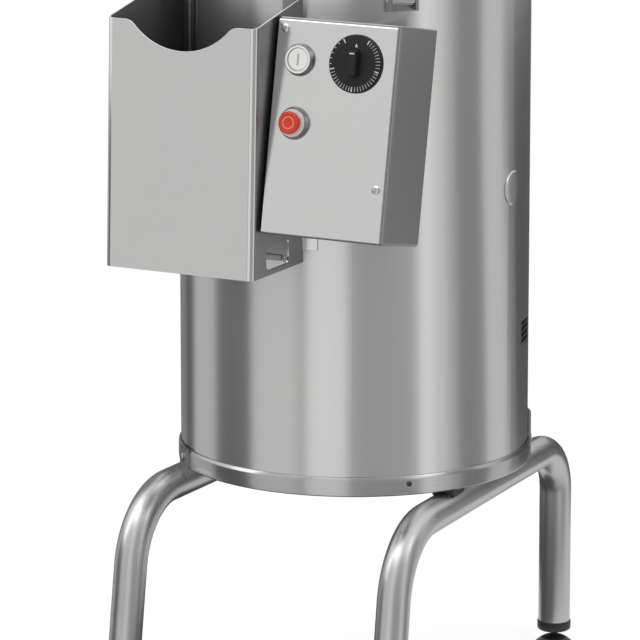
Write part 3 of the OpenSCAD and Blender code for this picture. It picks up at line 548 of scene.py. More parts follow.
@dataclass(frozen=True)
class Finish:
    """How a material was made and what its surface gives the eye.

    Attributes:
        name: The material and its making.
        slot: The record's slot that it belongs to; it is not used.
        colour: Its main sRGB colour.
        shade: The colour in its darker patches.
        roughness: Middle roughness.
        spread: How far the marks of making move the roughness.
        metallic: 1 for a bare metal.
        grain: Which way the marks run.
        pitch: Width of one mark in mm.
        length: Length of one level streak in mm.
        depth: Depth of the marks in mm, drawn in the bump.
        patch: Size of the darker patches in mm.
        drawn: Stretch of the highlight across the marks.
        coat: Strength of a clear gloss over it.
        gloss: How much light its own face mirrors, 0.5 for common plastics.
    """

    name: str
    slot: Slot
    colour: str
    shade: str
    roughness: float
    spread: float
    metallic: float = 0.0
    grain: Grain = Grain.EVEN
    pitch: float = 0.8
    length: float = 60.0
    depth: float = 0.01
    patch: float = 90.0
    drawn: float = 0.0
    coat: float = 0.0
    gloss: float = 0.5

    def material(self) -> bpy.types.Material:
        """Makes the material once.

        Returns:
            The node material.
        """
        made = bpy.data.materials.get(self.name)
        if made:
            return made
        made = bpy.data.materials.new(self.name)
        made.use_nodes = True
        tree = made.node_tree
        tree.nodes.clear()
        across, along = 1 / (self.pitch * MM), 1 / (self.length * MM)
        place = marked = add_node(tree, "ShaderNodeTexCoord").outputs["Object"]
        if self.grain is Grain.RINGS:
            axis = add_node(tree, "ShaderNodeMapping", {"Location": (0, -Machine().axis_y * MM, 0)},
                            {"Vector": place})
            flat = add_node(tree, "ShaderNodeVectorMath", {1: (1, 1, 0)}, {0: axis.outputs[0]},
                            operation="MULTIPLY")
            radius = add_node(tree, "ShaderNodeVectorMath", None, {0: flat.outputs[0]}, operation="LENGTH")
            marked = add_node(tree, "ShaderNodeCombineXYZ", None, {"X": radius.outputs["Value"]}).outputs[0]
        stretch = (along, along, across) if self.grain is Grain.LEVEL else (across, across, across)
        marks_at = add_node(tree, "ShaderNodeMapping", {"Scale": stretch}, {"Vector": marked})
        if self.grain is Grain.GRITTY:
            marks = add_node(tree, "ShaderNodeTexVoronoi", {"Scale": 1.0}, {"Vector": marks_at.outputs[0]},
                             feature="F1").outputs["Distance"]
        else:
            marks = add_node(tree, "ShaderNodeTexNoise", {"Scale": 1.0, "Detail": 3.0, "Roughness": 0.6},
                             {"Vector": marks_at.outputs[0]}).outputs[0]
        patches = add_node(tree, "ShaderNodeTexNoise", {"Scale": 1 / (self.patch * MM), "Detail": 2.0},
                           {"Vector": place})
        blend = add_node(tree, "ShaderNodeMix", {"Factor": 0.45}, {"A": patches.outputs[0], "B": marks})
        spread_out = add_node(tree, "ShaderNodeMapRange", {"From Min": 0.32, "From Max": 0.68},
                              {"Value": blend.outputs[0]})
        tone = add_node(tree, "ShaderNodeMix", {"A": linear(self.colour), "B": linear(self.shade)},
                        {"Factor": spread_out.outputs[0]}, data_type="RGBA")
        dull = add_node(tree, "ShaderNodeMapRange",
                        {"From Min": 0.3, "From Max": 0.7, "To Min": max(0.02, self.roughness - self.spread),
                         "To Max": self.roughness + self.spread}, {"Value": marks})
        relief = add_node(tree, "ShaderNodeBump", {"Strength": 1.0, "Distance": self.depth * MM},
                          {"Height": marks})
        shader = add_node(
            tree, "ShaderNodeBsdfPrincipled",
            {"Metallic": self.metallic, "Specular IOR Level": self.gloss, "Coat Weight": self.coat,
             "Coat Roughness": 0.12, "Anisotropic": self.drawn, "Anisotropic Rotation": 0.25},
            {"Base Color": tone.outputs[2], "Roughness": dull.outputs[0], "Normal": relief.outputs[0]})
        if self.drawn:
            turn = add_node(tree, "ShaderNodeTangent", direction_type="RADIAL", axis="Z")
            tree.links.new(turn.outputs[0], shader.inputs["Tangent"])
        add_node(tree, "ShaderNodeOutputMaterial", None, {"Surface": shader.outputs[0]})
        return made


# Stainless sheet, belt brushed along its length: level hairlines draw every reflection out upwards and
# downwards. Real hairlines are 0.1 mm wide and are drawn 1.6 mm wide here so that they show.
SHEET = Finish("brushed_stainless_sheet", Slot.SATIN, "#D2D2D0", "#CFD0D0", roughness=0.26, spread=0.01,
               metallic=1.0, grain=Grain.LEVEL, pitch=1.6, length=700.0, depth=0.0002, patch=140.0, drawn=0.7)
# The same sheet folded flat, with a calm even sheen: its hairlines are too fine to see, only faint drifts show.
FLAT_SHEET = Finish("folded_stainless_sheet", Slot.SATIN, "#D8D8D6", "#D6D7D6", roughness=0.16, spread=0.005,
                    metallic=1.0, grain=Grain.LEVEL, pitch=2.0, length=900.0, depth=0.0001, patch=160.0)
# The upward faces along the top edge of the same sheet, linished to take the burr off: matt, and brighter than the
# sheet as a painted highlight.
EDGE_HIGHLIGHT = Finish("linished_sheet_edge", Slot.SATIN, "#F0F0EE", "#E6E6E4", roughness=0.55, spread=0.05, metallic=1.0,
                  depth=0.0005, patch=20.0)
# The panel's sheet, ground a little brighter than the case.
PANEL_SHEET = Finish("ground_stainless_panel", Slot.SATIN, "#E3E3E1", "#E1E2E1", roughness=0.15, spread=0.005,
                     metallic=1.0, grain=Grain.LEVEL, pitch=2.0, length=900.0, depth=0.0001, patch=160.0)
# The base ring's sheet, spun and ground finer than the drum: a greyer band under it.
RING_SHEET = Finish("spun_stainless_ring", Slot.SATIN, "#BDBEBE", "#B6B7B7", roughness=0.22, spread=0.02,
                    metallic=1.0, grain=Grain.LEVEL, pitch=1.6, length=700.0, depth=0.0002, patch=140.0, drawn=0.3)
# A darker and duller copy of the stainless sheet, for the case, the lugs, the latch base, the door and the chute's
# sides: its grey, darker than the ground sheet, is painted shade and painted dark reflection.
SHADED_SHEET = Finish("rolled_stainless_case", Slot.SATIN, "#9D9D9E", "#989899", roughness=0.36, spread=0.02,
                    metallic=1.0, grain=Grain.LEVEL, pitch=2.0, length=900.0, depth=0.0002, patch=120.0)
# Stainless sheet spun and brushed on a lathe: hairlines run in rings about the middle.
SPUN_SHEET = Finish("spun_stainless_sheet", Slot.SATIN, "#D0D0CE", "#C2C3C3", roughness=0.27, spread=0.05,
                    metallic=1.0, grain=Grain.RINGS, pitch=1.4, depth=0.004, patch=120.0)
# Stainless tube, drawn, bent and ground: a greyer and softer sheen than the sheet.
TUBE = Finish("ground_stainless_tube", Slot.SATIN, "#C9C9C8", "#BFBFBF", roughness=0.32, spread=0.02, metallic=1.0,
              pitch=1.2, depth=0.0005, patch=60.0)
# The same steel on the rail saddles in a dull dark brown grey, which is painted shade: the contact shadow between the
# ring and the tubes.
CONTACT_SHADOW = Finish("heat_tinted_steel", Slot.SATIN, "#4A4948", "#403F3E", roughness=0.45, spread=0.05, metallic=1.0,
                pitch=1.2, patch=30.0)
# Zinc and nickel plated turned steel: small, bright and nearly mirror smooth.
BRIGHT = Finish("bright_plated_steel", Slot.BRIGHT, "#DADAD8", "#C6C7C8", roughness=0.17, spread=0.05, metallic=1.0,
                pitch=0.9, depth=0.003, patch=12.0)
# The buttons' rings, turned and grey anodised: a dull dark gleam with no mirror.
ANODISED = Finish("grey_anodised_ring", Slot.BRIGHT, "#8A8A8B", "#808081", roughness=0.36, spread=0.03, metallic=1.0,
                  pitch=0.9, depth=0.002, patch=12.0)
# Small screws, blackened in the bath: dark, with a soft gleam.
BLACKED = Finish("blackened_screw_steel", Slot.BRIGHT, "#5A5A5B", "#4C4C4D", roughness=0.35, spread=0.05,
                 metallic=1.0, pitch=0.9, depth=0.003, patch=12.0)
# Black ABS with a spark eroded mould grain: a soft grey sheen, no mirror.
BLACK = Finish("moulded_black_abs", Slot.BLACK, "#1B1B1C", "#232324", roughness=0.42, spread=0.06, pitch=0.7,
               depth=0.02, patch=25.0)
# Black phenolic dial, matt moulded: deeper and duller than the ABS.
DIAL = Finish("moulded_black_phenolic", Slot.BLACK, "#121213", "#181819", roughness=0.5, spread=0.05, pitch=0.7,
              patch=25.0, gloss=0.28)
# Black nitrile rubber, pressed: dull with a trace of bloom.
RUBBER = Finish("pressed_black_rubber", Slot.RUBBER, "#191919", "#242322", roughness=0.72, spread=0.08, pitch=1.2,
                depth=0.03, patch=30.0)
# Grey polyamide, moulded: matt technical plastic.
GREY = Finish("moulded_grey_polyamide", Slot.GREY, "#6B6D6F", "#616365", roughness=0.5, spread=0.06, depth=0.02,
              patch=25.0)
# White acetal push button: smooth, slightly warm, glossy.
WHITE = Finish("moulded_white_acetal", Slot.WHITE, "#DCDCD9", "#D4D4D1", roughness=0.26, spread=0.04, pitch=1.5,
               depth=0.008, patch=12.0, coat=0.2)
# Red acetal push button: warm signal red with a gloss.
RED = Finish("moulded_red_acetal", Slot.RED, "#C02E15", "#B52910", roughness=0.28, spread=0.04, pitch=1.5,
             depth=0.008, patch=12.0, coat=0.1, gloss=0.4)
# The same acetal in a paler orange, moulded in as the ring.
PALE_RED = Finish("moulded_pale_red_acetal", Slot.RED, "#D97A5C", "#D07155", roughness=0.3, spread=0.04, pitch=1.5,
                  depth=0.008, patch=12.0, coat=0.2)
# Aluminium and iron castings, shot blasted: an even grey pebble.
CAST = Finish("shot_blasted_casting", Slot.CAST, "#8B8D90", "#7B7D80", roughness=0.55, spread=0.08, metallic=1.0,
              pitch=1.0, depth=0.08, patch=40.0)
# Brass bar, turned and handled: warm and bright, with a faint mottle.
BRASS = Finish("turned_brass", Slot.BRASS, "#C9A24E", "#B78E40", roughness=0.24, spread=0.05, metallic=1.0,
               depth=0.005, patch=20.0)
# Silicon carbide grit bonded in resin: dull grey with bonded grains, which are about 1 mm and drawn at 2.2 mm.
GRIT = Finish("bonded_silicon_carbide_grit", Slot.GRIT, "#6E6C69", "#8D8B87", roughness=0.82, spread=0.1,
              grain=Grain.GRITTY, pitch=2.2, depth=0.5, patch=30.0)
# White pad printing ink: flat and slightly chalky.
INK = Finish("printed_white_ink", Slot.WHITE, "#BDBDBA", "#B2B2AF", roughness=0.6, spread=0.05, pitch=0.6,
             depth=0.004, patch=6.0)
# Grey filling paint in a moulded mark: flat.
MARK_INK = Finish("grey_filling_paint", Slot.GREY, "#9A9A99", "#929291", roughness=0.6, spread=0.05, pitch=0.6,
                  depth=0.004, patch=6.0)


# The machine


@dataclass(frozen=True)
class Machine:
    """Sizes in mm that the sub-assemblies share, and the frames that they are set in."""

    drum_r: float = 170.0
    drum_top: float = 735.0
    frame_top: float = 232.0
    latch_az: float = 41.6
    axis_y: float = 18.5

    def axis(self, turn: float = 0) -> Matrix:
        """The frame on the drum's axis, turned so that its front faces an azimuth in degrees."""
        return Matrix.Translation((0, self.axis_y, 0)) @ Matrix.Rotation(radians(turn), 4, "Z")

    def radial(self, turn: float, height: float, radius: float) -> Matrix:
        """A frame that looks out from the drum.

        Args:
            turn: Azimuth in degrees, from the front to the right.
            height: Height above the floor.
            radius: Distance from the drum's axis.

        Returns:
            The frame, with z outwards and y upwards.
        """
        out = Matrix.Translation((0, -radius, height)) @ Matrix.Rotation(pi / 2, 4, "X")
        return self.axis(turn) @ out


@dataclass
class SubAssembly:
    """Common work of the sub-assemblies: naming, dressing and placing pieces."""

    machine: Machine

    def add(self, obj: Piece, name: str, body: str, finish: Finish, *stands_for: str,
            at: Optional[Matrix] = None) -> None:
        """Sets a finished piece in its place, names it, dresses it and hands it to its body.

        Args:
            obj: The finished piece.
            name: Its name.
            body: The body that it rides on.
            finish: What it is made of.
            stands_for: The CAD nodes that it replaces.
            at: The frame that it was made in, in mm, unless it is in its place.
        """
        if at:
            placed(obj, at, MM)
        obj.name = obj.data.name = name
        obj.data.materials.clear()
        obj.data.materials.append(finish.material())
        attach(obj, body)
        if stands_for:
            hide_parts(*stands_for)
        LOG.info("%s on %s: %d faces, %s", name, body, len(obj.data.polygons), finish.name)

    def face(self, obj: Piece, finish: Finish, test: Test) -> None:
        """Gives some faces of a finished piece a finish of their own.

        Args:
            obj: The finished piece.
            finish: What these faces show.
            test: Takes a face's middle and its normal.
        """
        obj.data.materials.append(finish.material())
        with editing(obj):
            pick_faces(obj, test)
            obj.active_material_index = len(obj.data.materials) - 1
            bpy.ops.object.material_slot_assign()

    def coat(self, finish: Finish, *nodes: str) -> None:
        """Gives CAD nodes that stay in view a finish.

        Args:
            finish: What they are made of.
            nodes: Their names.
        """
        for node in nodes:
            for slot in frame["nodes"][node].material_slots:
                slot.material = finish.material()
            LOG.info("%s kept from the CAD: %s", node, finish.name)

    def reworked(self, node: str, place: Matrix) -> Piece:
        """Copies a CAD node into a frame of its own, in millimetres, as merged flat faces.

        Args:
            node: The node's name.
            place: The frame that it is worked on in.

        Returns:
            The copy, ready for its edges to be shaped.
        """
        obj = copy_of(frame["nodes"][node])
        obj.parent = None
        for key in list(obj.keys()):
            del obj[key]
        bpy.ops.mesh.customdata_custom_splitnormals_clear()
        obj.matrix_world = Matrix.Identity(4)
        placed(obj, place.inverted() @ Matrix.Scale(1 / MM, 4))
        with editing(obj):
            bpy.ops.mesh.remove_doubles(threshold=0.002)
            bpy.ops.mesh.dissolve_limited(angle_limit=radians(0.4))
        return obj

    def ease(self, node: str, body: str, finish: Finish, width: float, place: Optional[Matrix] = None) -> None:
        """Replaces a CAD node by a copy of it with broken edges.

        Args:
            node: The node's name.
            body: The body that it rides on.
            finish: What it is made of.
            width: How far its edges are broken, in mm.
            place: The frame that it is worked on in.
        """
        at = place or self.machine.axis()
        obj = eased_edges(self.reworked(node, at), width)
        self.add(obj, node + "_finished", body, finish, node, at=at)


def screw_head(radius: float, height: float) -> Piece:
    """Makes a pan head with a cross recess, standing on z = 0.

    Args:
        radius: Radius of the head.
        height: Height of the head.

    Returns:
        The head.
    """
    head = spun(eased([(0, height), (radius * 0.6, height), (radius, height * 0.45), (radius, 0), (0, 0)],
                      height * 0.35), 32)
    arm = (radius * 1.1, radius * 0.26, height)
    bars = [block(arm if k == 0 else (arm[1], arm[0], arm[2]), (0, 0, height)) for k in range(2)]
    return carved(head, *bars)


def hex_bolt(across: float, height: float, washer: float) -> Piece:
    """Makes a hexagon head on its washer, standing on z = 0.

    Args:
        across: Distance between flats.
        height: Height of head and washer.
        washer: Outer radius of the washer.

    Returns:
        The bolt head.
    """
    ring = spun(eased([(0, 1.0), (washer, 1.0), (washer, 0), (0, 0)], 0.25), 32)
    return joined(ring, hexagon(across, 0.9, height, height * 0.2))


@dataclass
class Stand(SubAssembly):
    """Two bent tubes, a cross tube, the lugs that hold the drum, and three levelling feet."""

    tube_r: float = 16.0
    tube_wall: float = 2.0
    left_x: float = -138.0
    right_x: float = 142.0
    toe: float = 3.3
    rail_z: float = 212.0
    rail_front: float = -128.0
    rail_rear: float = 156.0
    rail_end: float = 108.0
    front_bend: float = 75.0
    rear_bend: float = 50.0
    rake: float = 9.0
    tube_end: float = 26.0
    lug_turns: tuple[float, float] = (-45.0, 127.0)
    lug_face: float = 175.2
    lug_bolt_up: float = 9.5
    pad_r: float = 20.0
    pad_h: float = 11.0
    dome_r: float = 25.0
    stud_r: float = 3.25
    stud_root: float = 0.87
    stud_top: float = 56.0
    stud_play: float = 0.15
    pitch: float = 1.25
    bend_steps: int = 18
    cap_drop: float = 10.0
    cap_side: Outline = ((14.6, 0.0), (16.2, 1.0), (17.0, 2.6), (17.0, 9.2), (16.6, 10.0), (10.0, 10.0), (10.0, 24.0),
                         (9.0, 25.0))

    def plane(self, right: bool) -> Matrix:
        """The upright plane of a tube: the right one turns in about the front of its rail.

        Args:
            right: Whether it is the right tube.

        Returns:
            The frame of that plane.
        """
        if not right:
            return self.machine.axis() @ Matrix.Translation((self.left_x, 0, 0))
        pivot = Matrix.Translation((0, -self.rail_front, 0))
        turned = Matrix.Translation((self.right_x, self.rail_front, 0)) @ Matrix.Rotation(radians(self.toe), 4, "Z")
        return self.machine.axis() @ turned @ pivot

    def front_foot_y(self) -> float:
        """Works out where a front leg stands, in its own plane.

        Returns:
            The place of its foot.
        """
        rake = radians(self.rake)
        drop = self.rail_z - self.front_bend * (1 - sin(rake)) - self.tube_end
        return self.rail_front - self.front_bend * cos(rake) - drop * tan(rake)

    def bent_tube(self, right: bool) -> Piece:
        """Bends a tube from the front foot up to the rail, along it, and on the right down to the rear foot.

        Args:
            right: Whether it is the right tube.

        Returns:
            The tube.
        """
        rake = radians(self.rake)
        up = Vector((0, sin(rake), cos(rake)))
        foot = Vector((0, self.front_foot_y(), self.tube_end))
        start = foot - up * self.tube_r
        centre = Vector((0, self.rail_front, self.rail_z - self.front_bend))
        bend_start = centre + Vector((0, -cos(rake), sin(rake))) * self.front_bend
        bpy.ops.object.select_all(action="DESELECT")
        bpy.ops.mesh.primitive_circle_add(vertices=48, radius=self.tube_r, rotation=(-rake, 0, 0), location=start)
        tube = bpy.context.object
        bpy.ops.object.transform_apply(location=True, rotation=True, scale=True)
        with editing(tube):
            bpy.ops.mesh.extrude_region_move(TRANSFORM_OT_translate={"value": bend_start - start})
            bpy.ops.mesh.spin(steps=self.bend_steps, angle=pi / 2 - rake, center=centre, axis=(1, 0, 0))
            rail_end = self.rail_rear if right else self.rail_end
            bpy.ops.mesh.extrude_region_move(
                TRANSFORM_OT_translate={"value": (0, rail_end - self.rail_front, 0)})
            if right:
                back = (0, self.rail_rear, self.rail_z - self.rear_bend)
                bpy.ops.mesh.spin(steps=self.bend_steps, angle=pi / 2, center=back, axis=(1, 0, 0))
                down = self.tube_end - (self.rail_z - self.rear_bend)
                bpy.ops.mesh.extrude_region_move(TRANSFORM_OT_translate={"value": (0, 0, down)})
            bpy.ops.mesh.select_all(action="SELECT")
            bpy.ops.mesh.remove_doubles(threshold=MERGE)
            bpy.ops.mesh.normals_make_consistent(inside=False)
            bpy.ops.mesh.bisect(plane_co=(0, 0, self.tube_end), plane_no=(0, 0, 1), clear_inner=True)
        finish_with(tube, "SOLIDIFY", thickness=self.tube_wall, offset=-1.0)
        return smooth(tube)

    def foot_places(self) -> dict[str, Vector]:
        """Works out where the three feet stand.

        Returns:
            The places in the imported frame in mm, by body.
        """
        rear = self.plane(True) @ Vector((0, self.rail_rear + self.rear_bend, 0))
        front = Vector((0, self.front_foot_y(), 0))
        return {"left_foot": self.plane(False) @ front, "right_foot": self.plane(True) @ front, "rear_foot": rear}

    def foot(self) -> Piece:
        """Turns a domed pad moulded onto a threaded stud.

        Returns:
            The foot.
        """
        r, stud = self.pad_r, self.stud_r
        dome = [(r * k / 10, self.pad_h - self.dome_r + (self.dome_r ** 2 - (r * k / 10) ** 2) ** 0.5)
                for k in range(10, 2, -1)]
        thread = []
        for k in range(int((self.stud_top - self.pad_h - 2) / self.pitch)):
            low = self.pad_h + 0.8 + self.pitch * k
            thread += [(stud, low), (stud * self.stud_root, low + self.pitch / 2)]
        pad = [(0, 0), (r - 1.0, 0), (r - 0.2, 0.35), *dome, (stud + 0.8, self.pad_h - 0.2)]
        return spun([*pad, *thread, (stud * 0.8, self.stud_top - 0.5), (0, self.stud_top)], 40)

    def cap(self) -> Piece:
        """Turns a moulded cap that plugs the end of a leg, around the stud.

        Returns:
            The cap.
        """
        low, bore = self.tube_end - self.cap_drop, self.stud_r + self.stud_play
        side = [(r, low + up) for r, up in self.cap_side]
        return spun([(bore, low), *side, (bore, side[-1][1])], 48, True)

    def build(self) -> None:
        """Builds and dresses the stand."""
        self.add(self.bent_tube(True), "right_leg", "machine", TUBE, "right_leg_tube", at=self.plane(True))
        self.add(self.bent_tube(False), "left_leg", "machine", TUBE, "left_leg_tube", at=self.plane(False))
        self.coat(TUBE, "cross_tube")
        self.ease("rail_plug", "machine", BLACK, 0.8)
        # The saddles' dark grey is painted contact shadow under the ring.
        self.ease("rail_saddles", "machine", CONTACT_SHADOW, 0.6)
        # The lugs are in the darker sheet: its darker grey is painted shade.
        self.ease("rail_lugs", "machine", SHADED_SHEET, 0.8)
        bolt_up = self.machine.frame_top + self.lug_bolt_up
        bolts = copies(hex_bolt(across=7.6, height=2.2, washer=4.4),
                       [self.machine.radial(turn, bolt_up, self.lug_face) for turn in self.lug_turns])
        self.add(joined(*bolts), "lug_bolt_heads", "machine", BRIGHT, "lug_bolts")
        stands_for = {"left_foot": "foot_left", "right_foot": "foot_right", "rear_foot": "foot_rear"}
        foot, cap, caps = self.foot(), self.cap(), []
        for body, at in self.foot_places().items():
            place = Matrix.Translation((at.x, at.y, 0))
            self.add(copy_of(foot), body + "_pad", body, BLACK, stands_for[body], at=place)
            caps.append(placed(copy_of(cap), place, MM))
        bpy.data.objects.remove(foot)
        bpy.data.objects.remove(cap)
        self.add(joined(*caps), "leg_end_caps", "machine", BLACK, "leg_caps")


@dataclass
class Drum(SubAssembly):
    """The drum with its base ring, rim and fittings."""

    ring_r: float = 172.5
    ring_h: float = 19.0
    ring_wall: float = 2.0
    flange_w: float = 40.0
    lip_w: float = 1.8
    lip_h: float = 3.4
    heel_r: float = 1.4
    screw_up: float = 11.4
    screw_turns: tuple[float, ...] = (45.0, 165.0, 285.0)
    plug_turn: float = 90.0
    plug_z: float = 513.0
    plug_r: float = 16.5
    plug_h: float = 1.5
    seam_turn: float = 26.4
    seam_w: float = 2.2
    seam_t: float = 0.5
    inlet_z: float = 701.0
    inlet_turn: float = 180.0
    barbs: int = 5
    barb_step: float = 5.2
    gland_turn: float = 160.0
    gland_z: float = 278.0
    flutes: int = 12
    flute_at: float = 9.2
    gland_side: Outline = ((4.0, -5.5), (8.0, -5.5), (8.0, 6.0), (9.0, 6.0), (9.0, 9.5), (8.6, 11.2), (7.6, 12.6),
                           (6.2, 13.4), (4.6, 13.5), (4.0, 12.8))

    def plug(self) -> Piece:
        """Presses a cap over the hole in the drum's side, bent to the drum.

        Returns:
            The cap.
        """
        r, up = self.plug_r, self.plug_h
        obj = spun(eased([(0, up), (r * 0.5, up), (r - 0.7, up), (r, up * 0.5), (r, 0), (r * 0.6, 0), (r * 0.3, 0),
                          (0, 0)], 0.3), 64)
        for vert in obj.data.vertices:
            vert.co.z -= self.machine.drum_r - (self.machine.drum_r ** 2 - vert.co.x ** 2) ** 0.5
        return obj

    def base(self) -> Piece:
        """Turns the base ring: a flange under the drum, turned up to a lip that leans in to it.

        Returns:
            The ring.
        """
        m = self.machine
        out, low, wall = self.ring_r, m.frame_top, self.ring_wall
        top = low + self.ring_h
        lip = eased([(out, top - 3 * self.lip_h), (out, top - self.lip_h), (out - self.lip_w, top),
                     (out - wall, top - 1.0)], 0.6)
        heel = [(out - self.heel_r * (1 - cos(a)), low + self.heel_r * (1 - sin(a)))
                for a in [k * pi / 12 for k in range(6, -1, -1)]]
        inner = m.drum_r - self.flange_w
        obj = spun([(inner, low), *heel, *lip, (out - wall, low + wall), (inner, low + wall)], 160, True)
        return smooth(obj, WIDE_CREASE)

    def rim(self) -> Piece:
        """Rolls the rim along the top of the drum.

        Returns:
            The rim.
        """
        m = self.machine
        out, top = m.drum_r + 2, m.drum_top + 3
        low, inner, slit = top - 9, out - 5.5, out - 3.5
        return spun(eased([(out - 2, low), (out, low), (out, top), (inner, top), (inner, low), (slit, low),
                           (slit, top - 3.0), (out - 2, top - 3.0), (out - 2, low)], 1.1)[:-1], 128, True)

    def seam(self) -> Piece:
        """Lays the ground weld where the drum's sheet meets.

        Returns:
            The weld.
        """
        m = self.machine
        low, high = m.frame_top + self.ring_h + 0.5, m.drum_top - 6.5
        bead = block((self.seam_w, self.seam_t, high - low), (0, -m.drum_r - 0.02, (high + low) / 2))
        return eased_edges(bead, 0.22, 2)

    def inlet(self) -> Piece:
        """Makes a hose tail with barbs on a hexagon.

        Returns:
            The inlet.
        """
        barbs = []
        for k in range(self.barbs):
            up = 14.0 + self.barb_step * k
            barbs += [(6.1, up), (7.0, up + 0.6), (7.0, up + 1.4)]
        tail = spun([(5.0, -5.5), (7.0, -5.5), (7.0, 12.5), *barbs, (6.1, 40.0), (5.0, 40.0)], 40, True)
        nut = hexagon(across=21.0, low=0.6, high=6.0, chamfer=1.4)
        return joined(tail, carved(nut, spun([(0, -2), (6.6, -2), (6.6, 9), (0, 9)], 32)))

    def gland(self) -> Piece:
        """Makes a cable gland: a hexagon, a fluted dome nut and its open throat.

        Returns:
            The gland.
        """
        body = hexagon(across=20.8, low=2.0, high=6.0, chamfer=1.2)
        body = carved(body, spun([(0, 0), (4.4, 0), (4.4, 9), (0, 9)], 32))
        dome = spun(self.gland_side, 48, True)
        turns = [2 * pi * k / self.flutes for k in range(self.flutes)]
        flutes = copies(spun([(0, 6.5), (0.7, 6.5), (0.7, 12), (0, 12)], 10),
                        [Matrix.Translation((self.flute_at * cos(a), self.flute_at * sin(a), 0)) for a in turns], 1.0)
        return joined(carved(dome, *flutes), body)

    def build(self) -> None:
        """Builds and dresses the drum."""
        m = self.machine
        self.coat(SHEET, "drum_shell", "chamber_floor", "bottom_cover")
        self.add(self.base(), "turned_up_base", "machine", RING_SHEET, "base_ring", at=m.axis())
        self.coat(GRIT, "chamber_liner")
        self.add(self.seam(), "drum_seam", "machine", SHEET, at=m.axis(self.seam_turn))
        self.add(self.rim(), "rolled_rim", "machine", SHEET, "top_rim", at=m.axis())
        self.add(self.plug(), "pressed_side_cap", "machine", SHEET, "side_plug",
                 at=m.radial(self.plug_turn, self.plug_z, m.drum_r))
        heads = copies(screw_head(radius=2.6, height=1.6),
                       [m.radial(turn, m.frame_top + self.screw_up, self.ring_r) for turn in self.screw_turns])
        self.add(joined(*heads), "ring_screw_heads", "machine", BLACKED, "ring_screws")
        self.ease("vent_grille", "machine", BLACK, 0.5)
        self.ease("drain_spout", "machine", SHEET, 0.6)
        self.add(self.inlet(), "barbed_inlet", "machine", BRASS, "water_inlet",
                 at=m.radial(self.inlet_turn, self.inlet_z, m.drum_r))
        self.add(self.gland(), "domed_gland", "machine", BLACK, "cable_gland",
                 at=m.radial(self.gland_turn, self.gland_z, m.drum_r))


@dataclass
class Drive(SubAssembly):
    """The motor, belt and peeling plate inside the drum."""

    def build(self) -> None:
        """Dresses the drive."""
        self.ease("peeling_plate", "rotor", GRIT, 0.9)
        self.ease("plate_nut", "rotor", BRIGHT, 0.6)
        self.coat(CAST, "bearing_housing", "driven_pulley", "motor_pulley", "motor_body")
        self.coat(BRIGHT, "bearings", "drive_shaft", "motor_shaft")
        self.coat(RUBBER, "shaft_seal", "drive_belt")
        self.coat(SHEET, "motor_plate")


@dataclass
class Lid(SubAssembly):
    """The lid with its handle, hinge and latch."""

    low: float = 741.3
    radius: float = 171.0
    top: float = 767.3
    flange: float = 11.0
    corner: float = 12.0
    wall: float = 1.5
    handle_len: float = 120.0
    handle_up: float = 34.0
    handle_r: float = 7.0
    pressed: Outline = ((96.0, 0.0), (100.0, 1.0), (106.0, 1.0), (110.0, 0.0))

    def shell(self) -> Piece:
        """Spins a dish with a hemmed flange and a pressed ring in its top.

        Returns:
            The lid.
        """
        r, c, t = self.radius - self.flange, self.corner, self.wall
        outer, inner = ([(r - c + bend * sin(a), self.top - c + bend * cos(a)) for a in [k * pi / 16 for k in range(9)]]
                        for bend in (c, c - t))
        above, below = ([(0, top), *[(at, top - deep) for at, deep in self.pressed]]
                        for top in (self.top, self.top - t))
        rim, low = self.radius, self.low
        flange = [(r, low + t + 1.5), (r + 1.5, low + t), (rim - 1.2, low + t), (rim - 0.2, low + t - 0.4),
                  (rim, low + 0.75), (rim - 0.4, low + 0.1), (rim - 1.2, low)]
        return spun([*above, *outer, *flange, (r - t, low), *reversed(inner), *reversed(below)], 128)

    def handle(self) -> Piece:
        """Makes a round grip on two flared pillars.

        Returns:
            The handle.
        """
        half, r = self.handle_len / 2, self.handle_r
        bar = spun(eased([(0, -half), (r * 0.9, -half), (r, -half + 10), (r * 0.9, 0), (r, half - 10), (r * 0.9, half),
                          (0, half)], 3.5, 5), 40)
        placed(bar, Matrix.Translation((0, 0, self.top + self.handle_up)) @ Matrix.Rotation(pi / 2, 4, "Y"))
        up = self.handle_up
        pillar = spun(eased([(0, 0), (6.8, 0), (6.8, 1.4), (5.0, 4.0), (4.7, up - 5), (5.0, up), (0, up)], 1.0), 32)
        pillars = copies(pillar, [Matrix.Translation((side * (half - 2 * r), 0, self.top)) for side in (-1, 1)], 1.0)
        return joined(bar, *pillars)

    def build(self) -> None:
        """Builds and dresses the lid, its hinge and its latch."""
        at = self.machine.axis(self.machine.latch_az)
        self.add(self.shell(), "spun_lid", "lid", SPUN_SHEET, "lid_shell", at=at)
        self.add(self.handle(), "lid_grip", "lid", BLACK, "lid_handle", at=at)
        self.coat(RUBBER, "lid_seal")
        self.ease("lid_hinge_arm", "lid", SHEET, 0.7, at)
        self.ease("hinge_bracket", "machine", SHEET, 0.8, at)
        self.ease("hinge_pin", "machine", BRIGHT, 0.5, at)
        # The latch base is in the darker sheet: its darker grey is painted shade.
        self.ease("latch_base", "machine", SHADED_SHEET, 0.6, at)
        self.ease("latch_lever", "latch", BRIGHT, 1.8, at)
        self.ease("latch_pin", "machine", BRIGHT, 0.5, at)


